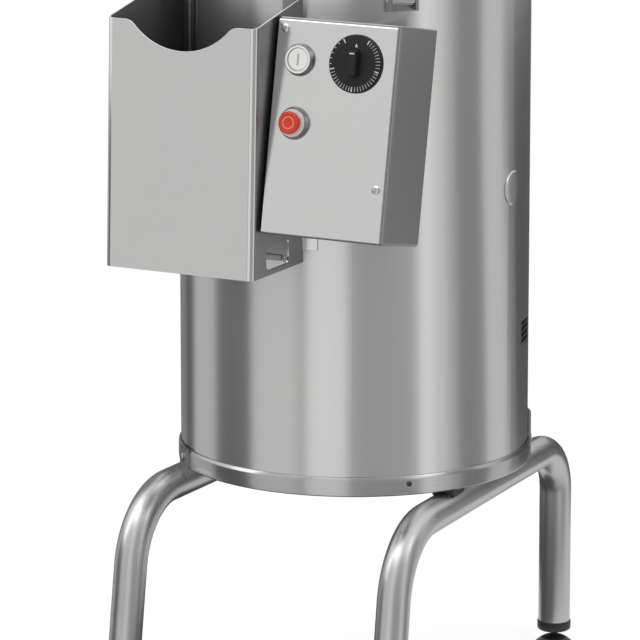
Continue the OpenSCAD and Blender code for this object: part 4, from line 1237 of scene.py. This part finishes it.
@dataclass
class Chute(SubAssembly):
    """The discharge chute, its sliding door and its fixings."""

    left: float = -126.0
    right: float = 32.0
    front: float = -267.0
    low: float = 458.0
    high: float = 692.0
    lean: float = 9.0
    edge_break: float = 0.5
    slope: float = 10.0
    wall: float = 1.5
    fold_r: float = 7.0
    scallop_half: float = 60.0
    scallop_depth: float = 26.0
    shoulder_r: float = 14.0
    window_in: float = 26.0
    window_up: float = 5.0
    window_w: float = 44.0
    window_h: float = 25.0
    window_r: float = 6.0
    flange_w: float = 14.0
    flange_low: float = 470.0
    left_flange_high: float = 684.0
    right_flange_high: float = 502.19
    bolt_in: float = 28.0
    bolt_turn: float = 3.0
    edge_band: float = 40.0
    side_band: float = 20.0
    front_band: float = 40.0
    side_steps: int = 8
    front_steps: int = 96
    knob_side: Outline = ((0.0, 26.0), (9.5, 26.0), (13.0, 23.5), (13.0, 18.0), (10.0, 16.0), (6.5, 15.0), (6.5, 2.6),
                          (0.0, 2.6))

    def scallop(self, x: float) -> float:
        """Works out how far the front's top edge dips.

        Args:
            x: The place across the chute.

        Returns:
            The dip there.
        """
        off = abs(x - (self.left + self.right) / 2)
        half, deep, r = self.scallop_half, self.scallop_depth, self.shoulder_r
        floor_r = (half * half + deep * deep) / (2 * deep) - r
        meet = half * floor_r / (floor_r + r)
        if off >= half:
            return 0.0
        if off > meet:
            return r - (r * r - (half - off) ** 2) ** 0.5
        return deep - floor_r + (floor_r * floor_r - off * off) ** 0.5

    def column(self, x: float, back: float, reach: float) -> tuple[Vector, Vector]:
        """The foot and the top of one upright line of the sheet.

        Args:
            x: Where it stands across the chute.
            back: How far behind the front its foot stands.
            reach: How far behind the front the side meets the drum.

        Returns:
            The foot and the top.
        """
        top = self.high + back * tan(radians(self.slope)) - self.scallop(x)
        lean = self.lean * (1 - back / reach) * (top - self.low) / (self.high - self.low)
        return Vector((x, self.front + back, self.low)), Vector((x, self.front + back + lean, top))

    def strip(self) -> list[tuple[Vector, Vector]]:
        """Sets out the sheet's upright lines, from the drum on the left round the front to the drum on the right.

        Returns:
            The foot and the top of each line.
        """
        r = self.fold_r
        sides = []
        for x, inwards in ((self.left, 1), (self.right, -1)):
            reach = -self.front - (self.machine.drum_r ** 2 - x * x) ** 0.5
            steps = [k / self.side_steps for k in range(self.side_steps + 1)]
            side = [self.column(x, reach + (r - reach) * step, reach) for step in steps]
            fold = [self.column(x + inwards * r * (1 - cos(a)), r * (1 - sin(a)), reach)
                    for a in [k * pi / 20 for k in range(1, 10)]]
            sides.append(side + fold)
        wide = self.right - self.left - 2 * r
        across = [self.left + r + wide * k / self.front_steps for k in range(self.front_steps + 1)]
        front = [self.column(x, 0, 1) for x in across]
        return [*sides[0], *front, *reversed(sides[1])]

    def sheet(self) -> Piece:
        """Folds the sheet with its scallop, its window and broken edges all round.

        Returns:
            The sheet.
        """
        columns = self.strip()
        obj = sheet_through([foot for foot, top in columns], [top for foot, top in columns])
        with editing(obj):
            bpy.ops.mesh.normals_make_consistent(inside=False)
        finish_with(obj, "SOLIDIFY", thickness=self.wall, offset=-1.0, use_even_offset=True)
        w, h, r = self.window_w, self.window_h, self.window_r
        corner = [(r * (1 - cos(k * pi / 12)), r * (1 - sin(k * pi / 12))) for k in range(7)]
        outline = [*corner, *[(w - x, y) for x, y in reversed(corner)], *[(w - x, h - y) for x, y in corner],
                   *[(x, h - y) for x, y in reversed(corner)]]
        hole = slab(outline, -10, 10)
        place = Matrix.Translation((self.right, self.front + self.wall + self.window_in, self.low + self.window_up))
        placed(hole, place @ Matrix.Rotation(pi / 2, 4, "Z") @ Matrix.Rotation(pi / 2, 4, "X"))
        carved(obj, hole)
        return eased_edges(obj, self.edge_break, 3, WIDE_CREASE)

    def flanges(self) -> Piece:
        """Bends the two flanges that hold the chute on the drum.

        Returns:
            Both flanges.
        """
        m = self.machine
        wide = degrees(asin(self.flange_w / m.drum_r))
        pieces = []
        for x, high in ((self.left, self.left_flange_high), (self.right, self.right_flange_high)):
            turn = degrees(asin(x / m.drum_r))
            start = turn - wide if x < 0 else turn - 0.3
            pieces.append(arc_plate(m.drum_r, m.drum_r + self.wall, self.flange_low, high, start, start + wide + 0.3))
        return eased_edges(joined(*pieces), 0.4)

    def bolt_places(self) -> list[Matrix]:
        """Sets out the bolts through the flanges.

        Returns:
            The frames that they stand in.
        """
        m = self.machine
        left, right = (degrees(asin(x / m.drum_r)) for x in (self.left, self.right))
        places = [(left - self.bolt_turn, self.flange_low + self.bolt_in),
                  (left - self.bolt_turn, self.left_flange_high - self.bolt_in),
                  (right + self.bolt_turn, (self.flange_low + self.right_flange_high) / 2)]
        return [m.radial(turn, z, m.drum_r + self.wall) for turn, z in places]

    def knob(self) -> Piece:
        """A turned knob on its neck."""
        return spun(eased(self.knob_side, 1.6), 40)

    def lit_top_edge(self, at: Vector, out: Vector) -> bool:
        """Whether a face looks up on the edge round the top, which takes the painted highlight."""
        return out.z > 0.25 and at.z > (self.high - self.edge_band) * MM

    def shaded_faces(self, at: Vector, out: Vector) -> bool:
        """Tells the faces that take the darker sheet as painted shade from the others.

        Args:
            at: The face's middle.
            out: Its normal.

        Returns:
            Whether it is on the inside of the left side or the front, or on either face of the right side.
        """
        in_left = out.x > 0.5 and at.x < (self.left + self.side_band) * MM
        on_right = abs(out.x) > 0.9 and at.x > (self.right - self.side_band) * MM
        in_front = out.y > 0.5 and at.y < (self.front + self.front_band) * MM
        return in_left or on_right or in_front

    def build(self) -> None:
        """Builds and dresses the chute."""
        m = self.machine
        chute = joined(placed(self.sheet(), m.axis(), MM), placed(self.flanges(), m.axis(), MM))
        self.add(chute, "folded_chute", "machine", FLAT_SHEET, "chute_box")
        # The brighter upward faces along the top edge are a painted highlight; the darker inside and right side are
        # painted shade.
        self.face(chute, EDGE_HIGHLIGHT, self.lit_top_edge)
        self.face(chute, SHADED_SHEET, self.shaded_faces)
        bolts = copies(hex_bolt(across=7.8, height=3.5, washer=5.0), self.bolt_places())
        self.add(joined(*bolts), "chute_bolt_heads", "machine", BRIGHT, "chute_bolts")
        # The door and its guides are in the darker sheet: painted shade inside the chute.
        self.ease("door_guides", "machine", SHADED_SHEET, 0.4)
        self.ease("door_panel", "door", SHADED_SHEET, 0.5)
        low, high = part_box("door_knob")
        middle = (low + high) / (2 * MM)
        turn = degrees(atan2(middle.x, m.axis_y - middle.y))
        self.add(self.knob(), "turned_knob", "door", BLACK, "door_knob", at=m.radial(turn, middle.z, m.drum_r))


@dataclass
class ControlBox(SubAssembly):
    """The control box with its panel, push buttons and timer."""

    left: float = 34.0
    front: float = -256.0
    low: float = 502.19
    height: float = 201.0
    tilt: float = 11.0
    panel_t: float = 2.0
    bottom_fold: float = 3.0
    top_fold: float = 1.2
    fold_deep: float = 60.0
    fold_right: float = 100.0
    panel_fold: float = 1.85
    button_s: float = 27.0
    start_t: float = 162.5
    stop_t: float = 104.0
    timer_s: float = 85.0
    timer_t: float = 163.0
    bezel_r: float = 15.25
    bezel_h: float = 5.5
    bezel_cone: float = 1.6
    bezel_lip: float = 0.7
    recess: float = 1.0
    sleeve_r: float = 11.15
    sleeve_t: float = 1.5
    sleeve_len: float = 22.0
    cap_r: float = 10.75
    neck_r: float = 8.0
    stop_top: float = 15.4
    start_dip: float = 0.5
    start_bar: tuple[float, float, float] = (1.6, 11.0, 0.5)
    start_bar_dip: float = 1.1
    start_play: float = 0.12
    stop_play: float = 0.3
    cap_back: float = -10.0
    block_size: float = 28.0
    block_depth: float = 20.0
    ring_in: float = 4.8
    ring_out: float = 6.0
    ring_h: float = 0.4
    dial_r: float = 27.0
    dial_t: float = 2.5
    dial_gap: float = 0.5
    spindle_r: float = 3.0
    spindle_len: float = 19.0
    grip_h: float = 8.0
    grip_w: float = 10.0
    grip_len: float = 24.0
    grip_sink: float = 0.2
    bold_turns: tuple[float, ...] = (31.0, 105.0, 183.0, 255.0, 328.0)
    fine_step: float = 7.2
    fine_end: float = 250.0
    dot_step: float = 12.0
    dot_end: float = 320.0
    stroke_in: float = 1.3
    stroke_len: float = 4.4
    bold_w: float = 1.3
    fine_w: float = 0.5
    dot_w: float = 0.8
    dot_len: float = 1.6
    stroke_gap: float = 4.0
    pointer: Outline = ((-1.5, 15.2), (1.5, 15.2), (0.0, 18.6))
    # The white dash on the grip's top is partly print and partly a painted highlight of the grip's top edge.
    grip_dash_and_highlight: tuple[float, float] = (5.0, 1.2)
    grip_dash_and_highlight_up: float = 9.0
    ink_t: float = 0.2
    screws: tuple[tuple[float, float], ...] = ((9.5, 190.5), (116.5, 50.25))

    def panel(self) -> Matrix:
        """The frame of the panel: x along it, z up it and y into the box."""
        corner = Matrix.Translation((self.left, self.front, self.low))
        return self.machine.axis() @ corner @ Matrix.Rotation(-radians(self.tilt), 4, "X")

    def spot(self, s: float, t: float) -> Matrix:
        """A place on the panel with z standing out of its face."""
        return self.panel() @ Matrix.Translation((s, 0, t)) @ Matrix.Rotation(pi / 2, 4, "X")

    def case(self) -> Piece:
        """Folds the case, with rounded edges round its top and bottom.

        Returns:
            The case.
        """
        obj = self.reworked("control_box", self.panel())
        with editing(obj):
            for level, fold, steps in ((0.0, self.bottom_fold, 5), (self.height, self.top_fold, 4)):
                pick_edges(obj, lambda middle, along: abs(along.z) < 0.1 and abs(middle.z - level) < 0.05 and (
                    middle.y < self.fold_deep or middle.x > self.fold_right))
                bpy.ops.mesh.bevel(offset=fold, segments=steps, affect="EDGES")
        return eased_edges(obj, 0.3, 2, WIDE_CREASE)

    def front_sheet(self) -> Piece:
        """Folds the panel round at its top edge and breaks the other edges.

        Returns:
            The panel.
        """
        obj = self.reworked("control_panel", self.panel())
        top = max(vert.co.z for vert in obj.data.vertices)
        with editing(obj):
            pick_edges(obj, lambda middle, along: abs(along.x) > 0.99 and middle.z > top - 0.05 and middle.y < -1)
            bpy.ops.mesh.bevel(offset=self.panel_fold, segments=6, affect="EDGES")
        return eased_edges(obj, 0.8, 2, WIDE_CREASE)

    def bezel_face(self) -> float:
        """How far the bezels stand out of the panel's frame."""
        return self.panel_t + self.bezel_h

    def dial_face(self) -> float:
        """How far the dial stands out of the panel's frame."""
        return self.panel_t + self.dial_gap + self.dial_t

    def bezel(self) -> Piece:
        """Turns a ring round a button, coned outside, on its sleeve and contact block.

        Returns:
            The bezel.
        """
        bore, out, low = self.sleeve_r, self.bezel_r, self.panel_t
        face, back, sleeve = self.bezel_face(), -self.sleeve_len, self.sleeve_r + self.sleeve_t
        cone = out - self.bezel_cone
        lip, floor = cone - self.bezel_lip, face - self.recess
        ring = spun([(bore, back), (sleeve, back), (sleeve, low), (out - 0.2, low), (out, low + 0.2), (out, low + 0.9),
                     (out - 0.3, low + 1.3), (cone, face - 0.3), (cone - 0.4, face), (lip, face), (lip, floor),
                     (bore, floor)], 64, True)
        size, deep = self.block_size, self.block_depth
        return joined(ring, eased_edges(block((size, size, deep), (0, 0, back - deep / 2)), 0.8))

    def collar(self, bore: float) -> Piece:
        """Turns a white ring let into the face of a bezel.

        Args:
            bore: Its inner radius, round a cap or its neck.

        Returns:
            The ring.
        """
        out, face = self.bezel_r - self.bezel_cone - self.bezel_lip, self.bezel_face()
        return spun([(bore, face - self.recess), (out, face - self.recess), (out, face - 0.1), (bore + 0.2, face - 0.3),
                     (bore, face - 0.5)], 64, True)

    def start_cap(self) -> Piece:
        """A flush cap with a dished face."""
        top, r, back = self.bezel_face() - self.start_dip, self.cap_r, self.cap_back
        return spun(eased([(0, top - 0.7), (r * 0.5, top - 0.55), (r - 1.4, top), (r, top - 0.9), (r, back), (0, back)],
                          0.8), 48)

    def stop_cap(self) -> Piece:
        """A raised cap with a dished face, on a narrower neck."""
        top, r, neck, back = self.stop_top, self.cap_r, self.neck_r, self.cap_back
        return spun(eased([(0, top - 0.8), (r * 0.5, top - 0.6), (r - 1.6, top), (r, top - 1.5), (r, top - 3.0),
                           (neck, top - 4.2), (neck, back), (0, back)], 0.9), 48)

    def ring_mark(self) -> Piece:
        """Turns the ring moulded into the stop cap in a lighter red.

        Returns:
            The ring.
        """
        top = self.stop_top - self.ring_h
        low = top - self.ring_h
        return spun([(self.ring_in, low), (self.ring_out, low), (self.ring_out, top), (self.ring_in, top)], 40, True)

    def dial(self) -> Piece:
        """Moulds a thin dial with a tapered grip on its middle.

        Returns:
            The dial.
        """
        low, face, r = self.panel_t + self.dial_gap, self.dial_face(), self.dial_r
        spindle, end = self.spindle_r, low - self.spindle_len
        disc = spun(eased([(0, face), (r - 0.9, face), (r, face - 0.9), (r, low), (spindle, low), (spindle, end),
                           (0, end)], 0.5), 96)
        grip = block((self.grip_w, self.grip_len, self.grip_h), (0, 0, face - self.grip_sink + self.grip_h / 2))
        with editing(grip):
            pick_faces(grip, lambda middle, normal: normal.z > 0.9)
            bpy.ops.transform.resize(value=(0.8, 0.92, 1))
        eased_edges(grip, 1.5, 3)
        return joined(disc, grip)

    def stroke(self, width: float, length: float, turn: float) -> Piece:
        """Prints one stroke at the rim of the dial.

        Args:
            width: Width of the stroke.
            length: Length of the stroke, in from the rim.
            turn: Where it stands, clockwise from the top, in degrees.

        Returns:
            The stroke.
        """
        up = self.dial_r - self.stroke_in - length / 2
        obj = block((width, length, self.ink_t), (0, up, self.dial_face()))
        with editing(obj):
            pick_faces(obj, lambda middle, normal: normal.y < -0.9)
            bpy.ops.transform.resize(value=(0.7, 1, 1))
        return placed(obj, Matrix.Rotation(-radians(turn), 4, "Z"))

    def dial_scale(self) -> Piece:
        """Prints strokes and a pointer on the dial, fine ones round to the lower left and dots up the left, and a white
        dash on the grip's top that is partly print and partly a painted highlight.

        Returns:
            The print.
        """
        face, ink, length = self.dial_face(), self.ink_t, self.stroke_len
        strokes = [self.stroke(self.bold_w, length, turn) for turn in self.bold_turns]
        turn = self.bold_turns[0] + self.fine_step
        while turn < self.dot_end:
            fine = turn < self.fine_end
            if min(abs(turn - bold) for bold in self.bold_turns) > self.stroke_gap:
                size = (self.fine_w, length) if fine else (self.dot_w, self.dot_len)
                strokes.append(self.stroke(*size, turn))
            turn += self.fine_step if fine else self.dot_step
        pointer = slab(self.pointer, face - ink / 2, face + ink / 2)
        # The dash on the grip's top is partly print and partly a painted highlight of the grip's top edge.
        grip_dash_and_highlight = block((*self.grip_dash_and_highlight, ink), (0, self.grip_dash_and_highlight_up, face - self.grip_sink + self.grip_h))
        return joined(pointer, grip_dash_and_highlight, *strokes)

    def build(self) -> None:
        """Builds and dresses the control box."""
        panel = self.panel()
        # The case is in the darker sheet: its darker grey is painted shade and painted dark reflection.
        self.add(self.case(), "folded_case", "machine", SHADED_SHEET, "control_box", at=panel)
        self.add(self.front_sheet(), "folded_panel", "machine", PANEL_SHEET, "control_panel", at=panel)
        self.ease("box_bracket", "machine", SHEET, 0.8)
        self.ease("timer_body", "machine", GREY, 0.8, panel)
        self.ease("contactor", "machine", GREY, 1.2, panel)
        out = Matrix.Translation((0, 0, self.panel_t))
        heads = copies(screw_head(radius=4.2, height=2.0), [self.spot(s, t) @ out for s, t in self.screws])
        self.add(joined(*heads), "panel_screw_heads", "machine", BRIGHT, "panel_screws")
        start, stop = self.spot(self.button_s, self.start_t), self.spot(self.button_s, self.stop_t)
        bezel = self.bezel()
        self.add(copy_of(bezel), "start_ring", "machine", ANODISED, "start_bezel", at=start)
        self.add(bezel, "stop_ring", "machine", ANODISED, "stop_bezel", at=stop)
        self.add(self.collar(self.cap_r + self.start_play), "start_collar", "machine", WHITE, at=start)
        self.add(self.collar(self.neck_r + self.stop_play), "stop_collar", "machine", WHITE, at=stop)
        self.add(self.start_cap(), "start_push_cap", "start_cap", WHITE, "start_button", at=start)
        mark = eased_edges(block(self.start_bar, (0, 0, self.bezel_face() - self.start_bar_dip)), 0.15)
        self.add(mark, "start_mark", "start_cap", MARK_INK, at=start)
        self.add(self.stop_cap(), "stop_push_cap", "stop_cap", RED, "stop_button", at=stop)
        self.add(self.ring_mark(), "stop_mark", "stop_cap", PALE_RED, at=stop)
        timer = self.spot(self.timer_s, self.timer_t)
        self.add(self.dial(), "timer_grip_dial", "timer_knob", DIAL, "timer_dial", at=timer)
        self.add(self.dial_scale(), "timer_scale", "timer_knob", INK, at=timer)


# The studio


@dataclass(frozen=True)
class Card:
    """A card round the object, which the bare metal reflects.

    Attributes:
        start: Where its reflection starts across the drum, from -1 at the left edge to 1 at the right.
        end: Where its reflection ends.
        tone: Its brightness, where 1 is white.
        top: Height of its upper edge.
    """

    start: float
    end: float
    tone: float
    top: float = 950.0


@dataclass(frozen=True)
class SoftBox:
    """A square lamp.

    Attributes:
        name: Its name.
        at: Its place in metres.
        size: Its side in metres.
        power: Its power in watts.
    """

    name: str
    at: tuple[float, float, float]
    size: float
    power: float


@dataclass
class Studio:
    """Floor, soft light, cards and camera."""

    machine: Machine
    camera_turn: float = 27.77
    camera_up: float = 12.62
    camera_far: float = 4722.98
    aim_right: float = -31.26
    aim_z: float = 365.91
    lens: float = 271.83
    shift: float = -0.0039
    sensor: float = 36.0
    view_end: float = 100.0
    floor_size: float = 40.0
    floor_colour: str = "#F6F6F5"
    floor_glow: float = 1.11
    floor_share: float = 0.74
    room_light: float = 0.72
    lamps: tuple[SoftBox, ...] = (
        SoftBox("key_box", (-1.1, -1.7, 2.7), 3.2, 46.0), SoftBox("fill_box", (2.2, -0.6, 2.0), 1.6, 12.0))
    lamp_aim: tuple[float, float, float] = (0.0, 0.0, 0.45)
    card_r: float = 1100.0
    card_low: float = 3.0
    card_in: float = 0.1
    card_t: float = 0.5
    card_steps: int = 6
    lean_low: float = 60.0
    lean_high: float = 420.0
    card_lean: float = 0.075
    cards: tuple[Card, ...] = (
        Card(-0.998, -0.96, 0.26, 2200.0), Card(-0.96, -0.92, 0.10, 2200.0), Card(-0.92, -0.79, 0.62, 500.0),
        Card(-0.79, -0.59, 0.15, 500.0), Card(-0.59, -0.33, 0.72, 1400.0), Card(-0.33, -0.275, 0.5, 1400.0),
        Card(-0.275, -0.04, 0.94, 1400.0), Card(-0.04, 0.37, 0.44, 1400.0), Card(0.37, 0.455, 1.0, 1400.0),
        Card(0.455, 0.535, 0.77), Card(0.535, 0.595, 0.54), Card(0.595, 0.755, 0.28), Card(0.755, 0.875, 0.72),
        Card(0.875, 0.925, 0.26, 600.0), Card(0.925, 0.998, 0.1, 600.0),
    )
    floor_up: float = 6.0
    under_r: float = 195.0
    under_tone: float = 0.08
    heel_r: float = 430.0
    heel_turn: float = 60.0
    heel_tone: float = 0.06
    left_floor: Outline = ((-420.0, -250.0), (-100.0, -250.0), (-100.0, 260.0), (-420.0, 260.0))
    left_tone: float = 0.05
    rear_reach: tuple[float, float] = (200.0, 800.0)
    rear_turns: tuple[float, float] = (95.0, 170.0)
    rear_card_tone: float = 0.8
    rear_top: float = 1100.0
    rear_tone: float = 0.1

    def glow(self, name: str, tone: float) -> bpy.types.Material:
        """An even grey card, lit from within so that it reads the same from everywhere.

        Args:
            name: The material's name.
            tone: Its brightness, where 1 is white.

        Returns:
            The material.
        """
        made = bpy.data.materials.new(name)
        made.use_nodes = True
        tree = made.node_tree
        tree.nodes.clear()
        shown = add_node(tree, "ShaderNodeEmission", {"Strength": tone})
        add_node(tree, "ShaderNodeOutputMaterial", None, {"Surface": shown.outputs[0]})
        return made

    def card_foot(self, across: float, radius: float) -> Vector:
        """Where the camera's view, mirrored in the drum, passes over the floor.

        Args:
            across: Place across the drum as the camera sees it, from -1 to 1.
            radius: Distance from the drum's axis.

        Returns:
            The place on the floor.
        """
        turn = asin(across)
        wall = Vector((sin(turn), cos(turn))) * self.machine.drum_r
        away = Vector((sin(2 * turn), cos(2 * turn)))
        reach = wall.dot(away)
        run = (reach * reach + radius * radius - wall.length_squared) ** 0.5 - reach
        spot = wall + away * max(run, 0)
        face = radians(self.camera_turn)
        x, y = spot.x * cos(face) + spot.y * sin(face), spot.x * sin(face) - spot.y * cos(face)
        return Vector((x, y, self.card_low))

    def stand_cards(self) -> None:
        """Lays each card out over the floor from the drum and stands it up in a ring about the object."""
        for number, card in enumerate(self.cards):
            wide = card.end - card.start
            columns = [card.start + wide * k / self.card_steps for k in range(self.card_steps + 1)]
            rows = [[self.card_foot(a, self.machine.drum_r + self.card_in) for a in columns]]
            for rise, lean in ((0.0, 0.0), (self.lean_low, 0.0), (self.lean_high, self.card_lean),
                               (card.top, self.card_lean)):
                feet = [self.card_foot(a - lean * max(a, 0) * (1 - abs(a) ** 8), self.card_r) for a in columns]
                rows.append([at + Vector((0, 0, rise)) for at in feet])
            self.hang(sheet_through(*rows), f"card_{number}", card.tone)

    def hang(self, obj: Piece, name: str, tone: float) -> None:
        """Sets a card in its place, seen by polished metal alone.

        Args:
            obj: The card, on the drum's axis frame in mm.
            name: Its name.
            tone: Its brightness, where 1 is white.
        """
        placed(obj, self.machine.axis(), MM)
        obj.name = name
        obj.data.materials.append(self.glow(name + "_tone", tone))
        obj.visible_camera = obj.visible_diffuse = obj.visible_shadow = False

    def lay_flags(self) -> None:
        """Lays cards on the floor about the stand and stands a dark one behind the object; the dark disc under the drum
        and the dark band before the ring's foot are painted shade.
        """
        low, t, face = self.floor_up, self.card_t, self.camera_turn
        # A dark disc under the drum, seen in the metal alone: painted shade under the machine.
        self.hang(spun([(0, low), (self.under_r, low)], 48), "drum_flag", self.under_tone)
        # A dark band on the floor before the ring's foot, seen in the metal alone: painted shade at the ring's foot.
        heel = arc_plate(self.under_r, self.heel_r, low, low + t, face - self.heel_turn, face + self.heel_turn)
        self.hang(heel, "heel_flag", self.heel_tone)
        self.hang(slab(self.left_floor, low + t, low + 2 * t), "left_flag", self.left_tone)
        rear = arc_plate(*self.rear_reach, low + 2 * t, low + 3 * t, *[face + turn for turn in self.rear_turns])
        self.hang(rear, "rear_floor_card", self.rear_card_tone)
        limbs, ends = ([self.card_foot(a, radius) for a in (self.cards[0].start, self.cards[-1].end)]
                       for radius in (self.machine.drum_r + self.card_in, self.card_r))
        tops = [at + Vector((0, 0, self.rear_top)) for at in ends]
        self.hang(sheet_through(ends, tops), "rear_flag", self.rear_tone)
        floor = slab([at.xy for at in (*limbs, *reversed(ends))], self.card_low, self.card_low + t)
        self.hang(floor, "rear_floor_flag", self.rear_tone)

    def lay_floor(self) -> None:
        """Lays a pale floor that keeps the object's shadow."""
        bpy.ops.object.select_all(action="DESELECT")
        bpy.ops.mesh.primitive_plane_add(size=self.floor_size)
        floor = bpy.context.object
        floor.name = "floor"
        made = bpy.data.materials.new("pale_floor")
        made.use_nodes = True
        tree = made.node_tree
        tree.nodes.clear()
        matt = add_node(tree, "ShaderNodeBsdfDiffuse", {"Color": linear(self.floor_colour)})
        white = add_node(tree, "ShaderNodeEmission", {"Strength": self.floor_glow})
        share = add_node(tree, "ShaderNodeMath", {1: self.floor_share}, {0: self.seen(tree).outputs[0]},
                         operation="MULTIPLY")
        mixed = add_node(tree, "ShaderNodeMixShader", None,
                         {0: share.outputs[0], 1: matt.outputs[0], 2: white.outputs[0]})
        add_node(tree, "ShaderNodeOutputMaterial", None, {"Surface": mixed.outputs[0]})
        floor.data.materials.append(made)

    def seen(self, tree: bpy.types.NodeTree) -> bpy.types.Node:
        """Adds up the rays by which the background is seen: straight, mirrored or through.

        Args:
            tree: The node tree.

        Returns:
            A node that gives 1 for those rays.
        """
        path = add_node(tree, "ShaderNodeLightPath")
        both = add_node(tree, "ShaderNodeMath", None, {0: path.outputs["Is Camera Ray"],
                                                       1: path.outputs["Is Glossy Ray"]}, use_clamp=True)
        return add_node(tree, "ShaderNodeMath", None, {0: both.outputs[0], 1: path.outputs["Is Transmission Ray"]},
                        use_clamp=True)

    def light(self) -> None:
        """Lights the room: an even white world and two soft boxes."""
        world = bpy.data.worlds.new("white_room")
        world.use_nodes = True
        tree = world.node_tree
        tree.nodes.clear()
        strength = add_node(tree, "ShaderNodeMapRange", {"To Min": self.room_light, "To Max": 1.0},
                            {"Value": self.seen(tree).outputs[0]})
        sky = add_node(tree, "ShaderNodeBackground", {"Color": (1, 1, 1, 1)}, {"Strength": strength.outputs[0]})
        add_node(tree, "ShaderNodeOutputWorld", None, {"Surface": sky.outputs[0]})
        bpy.context.scene.world = world
        for box in self.lamps:
            lamp = bpy.data.lights.new(box.name, "AREA")
            lamp.size, lamp.energy = box.size, box.power
            obj = bpy.data.objects.new(box.name, lamp)
            obj.location = box.at
            obj.rotation_euler = (Vector(self.lamp_aim) - Vector(box.at)).to_track_quat("-Z", "Y").to_euler()
            bpy.context.scene.collection.objects.link(obj)

    def set_camera(self) -> None:
        """Puts the camera where the photograph was taken from."""
        turn, up = radians(self.camera_turn), radians(self.camera_up)
        ahead = Vector((-sin(turn) * cos(up), cos(turn) * cos(up), -sin(up)))
        aim = Vector((cos(turn), sin(turn), 0)) * self.aim_right + Vector((0, self.machine.axis_y, self.aim_z))
        lens = bpy.data.cameras.new("camera")
        lens.lens, lens.sensor_width, lens.clip_end = self.lens, self.sensor, self.view_end
        lens.shift_x = self.shift
        obj = bpy.data.objects.new("camera", lens)
        obj.location = (aim - ahead * self.camera_far) * MM
        obj.rotation_euler = ahead.to_track_quat("-Z", "Y").to_euler()
        bpy.context.scene.collection.objects.link(obj)
        bpy.context.scene.camera = obj

    def build(self) -> None:
        """Sets up the studio."""
        self.set_camera()
        self.lay_floor()
        self.stand_cards()
        self.lay_flags()
        self.light()
        bpy.context.scene.view_settings.view_transform = "Standard"
        LOG.info("studio set up with %d cards", len(self.cards))


def main() -> None:
    """Builds the machine and the studio."""
    logging.basicConfig(level=logging.INFO, format="%(message)s")
    machine = Machine()
    Studio(machine).build()
    for part in (Stand(machine), Drum(machine), Drive(machine), Lid(machine), Chute(machine), ControlBox(machine)):
        part.build()


if __name__ == "__main__":
    main()
